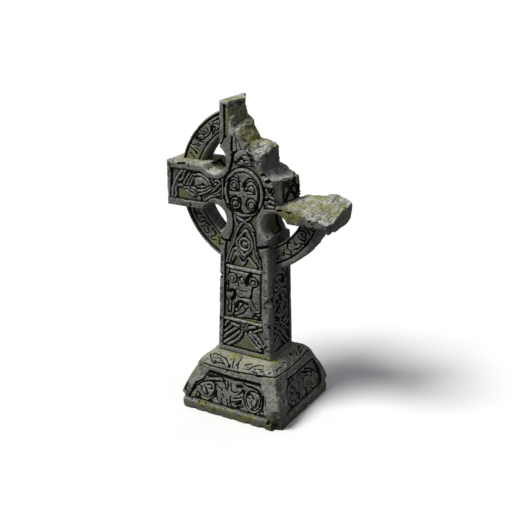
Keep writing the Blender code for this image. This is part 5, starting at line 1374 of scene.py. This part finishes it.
def stone_material(name, light, dark, lichen_share, seed):
    """Stone with grit, lichen, moss, dirt and painted shade where the layer of creases and floors and the
    look layer say they lie.
    """
    n = Nodes(name)
    place = n.add("TexCoord").outputs["Object"]
    marks = n.add("VertexColor", layer_name="wear_and_shade")
    wear_and_shade, proud = marks.outputs["Color"], marks.outputs["Alpha"]
    look = n.add("VertexColor", layer_name="look").outputs["Color"]
    split = n.add("SeparateColor")
    n.link(wear_and_shade, split.inputs[0])
    crease, floor = split.outputs[0], split.outputs[1]
    split = n.add("SeparateColor")
    n.link(look, split.inputs[0])
    facing, moss, shade = split.outputs[0], split.outputs[1], split.outputs[2]
    shift = (seed * 3.1, seed * 1.7, seed * 2.3)
    broad = n.noise(place, 9.0, 4.0, 0.6, shift)
    middle = n.noise(place, 38.0, 5.0, 0.62, shift)
    grit = n.noise(place, 170.0, 4.0, 0.7, shift)
    specks = n.noise(place, 420.0, 2.0, 0.6, shift)
    base = n.mix(n.span(broad, 0.32, 0.68), dark, light)
    base = n.mix(n.math("MULTIPLY", n.span(middle, 0.42, 0.66), 0.60), base, tuple(c * 1.35 for c in light))
    base = n.mix(n.math("MULTIPLY", n.span(grit, 0.54, 0.38), 0.78), base, tuple(c * 0.35 for c in dark))
    base = n.mix(n.math("MULTIPLY", n.span(specks, 0.56, 0.68), 0.50), base, (0.42, 0.42, 0.39))
    # Olive growth and pale lichen grains where the stone faces the sky
    blots = n.noise(place, 24.0, 6.0, 0.68, (shift[0] + 5, 1.0, 2.0))
    under = n.math("MULTIPLY", facing, n.span(blots, 0.46, 0.56), True)
    base = n.mix(n.math("MULTIPLY", under, 0.70), base, (0.085, 0.090, 0.026))
    grains = n.noise(place, 125.0, 5.0, 0.80, (shift[0] + 5, 6.0, 2.0))
    drift = n.noise(place, 15.0, 3.0, 0.6, (shift[0] + 1, 8.0, 2.0))
    grains = n.math("ADD", grains, n.math("MULTIPLY", n.math("SUBTRACT", drift, 0.5), 0.35))
    up = n.math("MULTIPLY", facing, n.span(grains, 0.44, 0.56), True)
    base = n.mix(n.math("MULTIPLY", up, 0.88 * lichen_share), base, (0.60, 0.60, 0.565))
    spots = n.noise(place, 55.0, 3.0, 0.5, (shift[0] + 9, 4.0, 7.0))
    base = n.mix(n.math("MULTIPLY", n.span(spots, 0.62, 0.70), 0.35 * lichen_share), base, (0.36, 0.37, 0.32))
    # Olive film on floors and ledges, and brighter moss in clumps
    film = n.noise(place, 30.0, 5.0, 0.62, (2.0, shift[1] + 3, 5.0))
    green = n.math("MULTIPLY", n.math("MULTIPLY", floor, 0.75), n.span(film, 0.34, 0.60), True)
    base = n.mix(green, base, (0.072, 0.076, 0.028))
    clump = n.noise(place, 62.0, 5.0, 0.7, (7.0, 2.0, shift[2] + 1))
    amount = n.math("MULTIPLY", moss, n.span(clump, 0.26, 0.50), True)
    tuft = n.noise(place, 260.0, 3.0, 0.7, (3.0, 1.0, 8.0))
    mossy = n.mix(n.span(tuft, 0.35, 0.65), (0.060, 0.066, 0.012), (0.350, 0.355, 0.075))
    base = n.mix(n.math("MULTIPLY", amount, 0.95), base, mossy)
    # Proud points lightened (rubbed wear and painted highlight), painted shade from the look layer, and dirt
    # and painted shade in the creases
    base = n.mix(n.math("MULTIPLY", proud, n.span(grit, 0.36, 0.60, 0.15, 0.65)), base, (0.30, 0.30, 0.28))
    # Painted shade where the look layer's shade channel is high
    base = n.mix(n.math("MULTIPLY", shade, 0.78), base, (0.030, 0.030, 0.027))
    # Creases darkened almost to black: dirt and painted shade
    crease_dirt_and_shade = n.math("MULTIPLY", n.span(crease, 0.02, 0.70), n.span(middle, 0.18, 0.44, 0.85, 1.0), True)
    base = n.mix(n.math("MULTIPLY", crease_dirt_and_shade, 0.98), base, (0.004, 0.004, 0.0035))
    bsdf = n.add("BsdfPrincipled")
    n.link(base, bsdf.inputs["Base Color"])
    n.link(n.span(middle, 0.3, 0.7, 0.84, 0.97), bsdf.inputs["Roughness"])
    bsdf.inputs["Specular IOR Level"].default_value = 0.06
    height = n.math("ADD", n.math("MULTIPLY", grit, 0.45), n.math("MULTIPLY", middle, 0.55))
    height = n.math("ADD", height, n.math("MULTIPLY", n.math("MULTIPLY", tuft, 0.7), moss))
    pits = n.noise(place, 95.0, 2.0, 0.5, (1.0, 9.0, 4.0))
    height = n.math("SUBTRACT", height, n.math("MULTIPLY", n.span(pits, 0.64, 0.76), 0.55))
    bump = n.add("Bump")
    bump.inputs["Strength"].default_value = 0.85
    bump.inputs["Distance"].default_value = 0.0044
    n.link(height, bump.inputs["Height"])
    n.link(bump.outputs[0], bsdf.inputs["Normal"])
    out = n.add("OutputMaterial")
    n.link(bsdf.outputs[0], out.inputs[0])
    return n.material


def blob(p, centre, size):
    """1 at the centre, falling to 0 at the size given for each axis."""
    q = (p - np.array(centre)) / np.array(size)
    return np.clip(1.3 * (1 - (q**2).sum(axis=1)), 0, 1)


def highest(base, *layers):
    for layer in layers:
        base = np.maximum(base, layer)
    return base


def look_of_cross(obj):
    """Where the cross gathers lichen and moss and where painted shade lies on it, by place and by the way
    each point faces.
    """
    mesh = obj.data
    p, nrm = coords(mesh), normals(mesh)
    x, y, z = p.T
    wear_and_shade = values(mesh.color_attributes["wear_and_shade"].data, "color", 4)
    floor, broken = wear_and_shade[:, 1], wear_and_shade[:, 2]
    up = ramp(nrm[:, 2], 0.32, 0.85)
    patch = ramp(rough(p, 0.05, 3, 77), -0.25, 0.5)
    olive = ramp(rough(p, 0.030, 3, 79), -0.35, 0.35)
    slope = broken * ramp(nrm[:, 2], -0.05, 0.40)
    face, right = ramp(-nrm[:, 1], 0.3, 0.8), ramp(nrm[:, 0], 0.35, 0.9)
    # Moss on the break, the stump, the arm's top, the wheel, and in corners of the front
    moss = highest(np.zeros(len(p)), *(amount * blob(p, centre, size) for amount, centre, size in (
        ((0.4 + 0.6 * olive) * slope, (0.02, 0.0, 1.465), (0.10, 0.24, 0.10)),
        (0.85 * olive * slope, (0.10, 0.02, 1.42), (0.10, 0.20, 0.07)),
        (0.7 * olive * slope, (0.165, 0.0, 1.27), (0.06, 0.20, 0.07)),
        (0.85 * slope * patch, (0.34, 0.02, 1.14), (0.20, 0.22, 0.08)),
        (0.95 * face, (0.25, -0.125, 1.092), (0.085, 0.05, 0.040)),
        (0.9 * (0.3 + 0.7 * olive), (0.455, -0.02, 1.120), (0.035, 0.14, 0.045)),
        (0.35 + 0.55 * olive, (-0.35, -0.03, 1.29), (0.09, 0.12, 0.06)),
        (0.85 * broken * (0.4 + 0.6 * olive), (-0.08, -0.03, 1.535), (0.07, 0.16, 0.050)),
        (0.9 * up * olive, (-0.30, 0.0, 1.272), (0.20, 0.16, 0.04)),
        (0.7 * up * patch, (-0.08, -0.06, 1.60), (0.07, 0.10, 0.04)),
        (0.8 * (floor > 0.1), (-0.195, -0.03, 0.865), (0.05, 0.07, 0.06)),
        (0.9, (0.10, -0.13, 0.310), (0.09, 0.06, 0.018)),
        (0.9, (0.04, -0.115, 0.496), (0.09, 0.03, 0.008)),
        (0.35, (0.135, -0.125, 0.615), (0.030, 0.04, 0.035)),
        (0.9 * (0.3 + 0.7 * olive), (0.30, -0.105, 1.108), (0.11, 0.035, 0.022)),
    )))
    # Lichen spread past the edges of the break
    up = highest(up, *(amount * blob(p, centre, (size, thick, size)) for amount, centre, size, thick in (
        (0.75, (0.10, -0.125, 1.385), 0.085, 0.06), (0.85, (0.145, -0.125, 1.255), 0.055, 0.06),
        (0.6, (0.125, -0.115, 1.005), 0.055, 0.06), (0.65, (0.19, 0.0, 1.180), 0.090, 0.12),
        (0.35, (0.44, -0.05, 1.100), 0.055, 0.06), (0.3, (-0.01, -0.12, 1.360), 0.060, 0.06),
        (0.5, (-0.078, -0.125, 1.500), 0.075, 0.06),
    )))
    # The stump's front, darker and greener
    low_front = face * ramp(x, 0.19, 0.21) * ramp(1.125 - z, 0.0, 0.02)
    ledge = ramp(x, 0.17, 0.20) * blob(p, (0.27, -0.125, 1.125), (0.15, 0.055, 0.050)) * (0.35 + 0.65 * olive)
    up *= (1 - 0.85 * low_front) * (1 - 0.85 * ledge)
    up = np.maximum(up, 0.38 * patch * blob(p, (0.137, -0.125, 0.62), (0.035, 0.04, 0.36)))
    # A film on open floors, more on the right of the front, in the armpits and on the wheel
    open_floor = floor * (floor > 0.4)
    wheel = (np.abs(y) < 0.052) * (floor > 0.1)
    moss = highest(
        moss, 0.8 * ledge,
        open_floor * 0.40 * ramp(x, 0.05, 0.09) * (y < -0.08),
        open_floor * 0.30 * (np.abs(y) < 0.06),
        open_floor * 0.55 * blob(p, (-0.09, -0.12, 1.50), (0.03, 0.05, 0.10)),
        open_floor * 0.30 * ramp(rough(p, 0.04, 2, 78), -0.1, 0.4),
        0.22 * wheel * ramp(rough(p, 0.05, 2, 80), 0.0, 0.5),
    )
    # Painted shade on faces turned right and down and in the shelter of the break, and a darker stump front
    shade = 0.42 * right * ramp(x, -0.05, 0.16) * (1 - 0.6 * patch * (z > 1.2))
    shade *= 1 - 0.55 * ((x > 0.17) & (z > 1.12) & (z < 1.26))
    shade *= 1 - 0.7 * blob(p, (0.15, -0.10, 1.01), (0.08, 0.07, 0.10))
    shade = highest(
        shade, 0.5 * ramp(-nrm[:, 2], 0.3, 0.8) * (z > 0.9),
        0.55 * broken * blob(p, (-0.04, 0.03, 1.520), (0.05, 0.10, 0.030)),
        0.70 * right * blob(p, (0.14, -0.04, 1.335), (0.06, 0.16, 0.075)),
        low_front * (0.15 + 0.45 * patch), 0.45 * ledge,
    )
    write_look(mesh, up, moss, shade)


def look_of_plinth(obj):
    """The same for the plinth."""
    mesh = obj.data
    p, nrm = coords(mesh), normals(mesh)
    x, y, z = p.T
    floor = values(mesh.color_attributes["wear_and_shade"].data, "color", 4)[:, 1]
    up = ramp(nrm[:, 2], 0.25, 0.75)
    patch = ramp(rough(p, 0.045, 3, 87), 0.0, 0.55)
    around_shaft = np.maximum(np.abs(x) / 0.16, np.abs(y) / 0.148) < 1.22
    lip = np.clip(1 - np.abs(z - 0.249) / 0.008, 0, 1)
    corner = blob(p, (0.26, -0.25, 0.06), (0.06, 0.06, 0.10))
    moss = highest(
        floor * (floor > 0.4) * (0.5 + 0.5 * ramp(rough(p, 0.035, 2, 88), -0.3, 0.3)),
        0.95 * ramp(z, 0.280, 0.292) * (0.3 + 0.7 * patch) * around_shaft,
        0.40 * patch * up,
        0.75 * lip * ramp(rough(p, 0.05, 3, 89), -0.3, 0.3),
        0.7 * patch * ramp(0.060 - z, 0.0, 0.03),
        *(0.85 * blob(p, (cx, -0.27, cz), (size, 0.03, 0.020)) for cx, cz, size in (
            (-0.175, 0.040, 0.030), (-0.14, 0.06, 0.02), (0.13, 0.040, 0.040), (0.235, 0.06, 0.03),
        )),
        0.6 * corner * patch,
    )
    edge = (0.055, 0.055, 0.09)
    up = highest(up, 0.75 * blob(p, (0.255, -0.24, 0.165), edge), 0.5 * blob(p, (-0.255, -0.24, 0.165), edge))
    # Painted shade on faces turned right; darker towards the bottom and at the lost front corner
    shade = 0.10 * ramp(nrm[:, 0], 0.4, 0.9) + 0.60 * ramp(0.050 - z, 0.0, 0.03) + 0.5 * corner
    write_look(mesh, up, moss, shade)


def write_look(mesh, *layers):
    look = [np.clip(layer, 0, 1) for layer in layers]
    add_layer(mesh, "look", np.stack(look + [np.ones(len(mesh.vertices))], axis=1))


def dress(obj, material):
    mesh = obj.data
    mesh.materials.clear()
    mesh.materials.append(material)
    mesh.polygons.foreach_set("material_index", np.zeros(len(mesh.polygons), np.int32))
    mesh.polygons.foreach_set("use_smooth", np.ones(len(mesh.polygons), bool))
    mesh.set_sharp_from_angle(angle=math.radians(48))


# Setting
def floor_sheet():
    bm = bmesh.new()
    bmesh.ops.create_grid(bm, x_segments=1, y_segments=1, size=40.0)
    mesh = bpy.data.meshes.new("ground")
    bm.to_mesh(mesh)
    bm.free()
    ground = add_object("ground", mesh)
    ground.location.z = -0.0004
    ground.visible_diffuse = False
    n = Nodes("ground")
    bsdf = n.add("BsdfPrincipled")
    place = n.add("TexCoord").outputs["Object"]
    tone = n.span(n.noise(place, 3.0, 3.0, 0.5), 0.3, 0.7)
    n.link(n.mix(tone, (0.86, 0.86, 0.86), (0.88, 0.88, 0.88)), bsdf.inputs["Base Color"])
    bsdf.inputs["Roughness"].default_value = 0.9
    out = n.add("OutputMaterial")
    n.link(bsdf.outputs[0], out.inputs[0])
    mesh.materials.append(n.material)
    return ground


def set_light():
    data = bpy.data.lights.new("key", "SUN")
    data.energy, data.angle, data.color = 3.6, math.radians(22), (1.0, 0.985, 0.96)
    add_object("key", data).rotation_euler = Vector((-0.38, -0.52, 0.92)).to_track_quat("Z", "Y").to_euler()


def set_camera():
    """The camera as solved from the edges of the plinth and the shaft."""
    turn, rise = math.radians(30.0), math.radians(20.0)
    k = TOTAL_HEIGHT / 1.6653
    back = Vector((math.sin(turn) * math.cos(rise), -math.cos(turn) * math.cos(rise), math.sin(rise)))
    right = Vector((math.cos(turn), math.sin(turn), 0))
    target = right * (-0.004 * k + 0.0037) + Vector((0, 0, 0.834 * k))
    data = bpy.data.cameras.new("camera")
    cam = add_object("camera", data)
    cam.location = target + back * 5.029 * k
    cam.rotation_euler = back.to_track_quat("Z", "Y").to_euler()
    data.sensor_width = 36.0
    data.lens = 36.0 * 955.4 / 512.0
    bpy.context.scene.camera = cam


def set_world():
    world = bpy.data.worlds.new("world")
    bpy.context.scene.world = world
    world.use_nodes = True
    tree = world.node_tree
    light = tree.nodes["Background"]
    light.inputs["Color"].default_value = (0.93, 0.95, 1.0, 1.0)
    light.inputs["Strength"].default_value = 0.28
    # The backdrop itself is a plain pale sheet
    pale = tree.nodes.new("ShaderNodeBackground")
    pale.inputs["Color"].default_value = (0.95, 0.95, 0.95, 1.0)
    seen = tree.nodes.new("ShaderNodeLightPath")
    both = tree.nodes.new("ShaderNodeMixShader")
    tree.links.new(seen.outputs["Is Camera Ray"], both.inputs[0])
    tree.links.new(light.outputs[0], both.inputs[1])
    tree.links.new(pale.outputs[0], both.inputs[2])
    tree.links.new(both.outputs[0], tree.nodes["World Output"].inputs["Surface"])
    bpy.context.scene.view_settings.view_transform = "Standard"


def main():
    cross = build_cross()
    weather(cross, "cross", 401)
    look_of_cross(cross)
    dress(cross, stone_material("cross_stone", (0.192, 0.192, 0.182), (0.066, 0.066, 0.061), 1.0, 1.0))
    plinth = build_plinth()
    weather(plinth, "plinth", 431, 1.7, True)
    look_of_plinth(plinth)
    dress(plinth, stone_material("plinth_stone", (0.184, 0.184, 0.173), (0.060, 0.060, 0.055), 0.60, 2.0))
    for obj, node, slot in ((cross, "cross", "cross_stone"), (plinth, "plinth", "plinth_stone")):
        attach(obj, "root")
        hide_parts(node)
    floor_sheet()
    set_light()
    set_world()
    set_camera()


main()
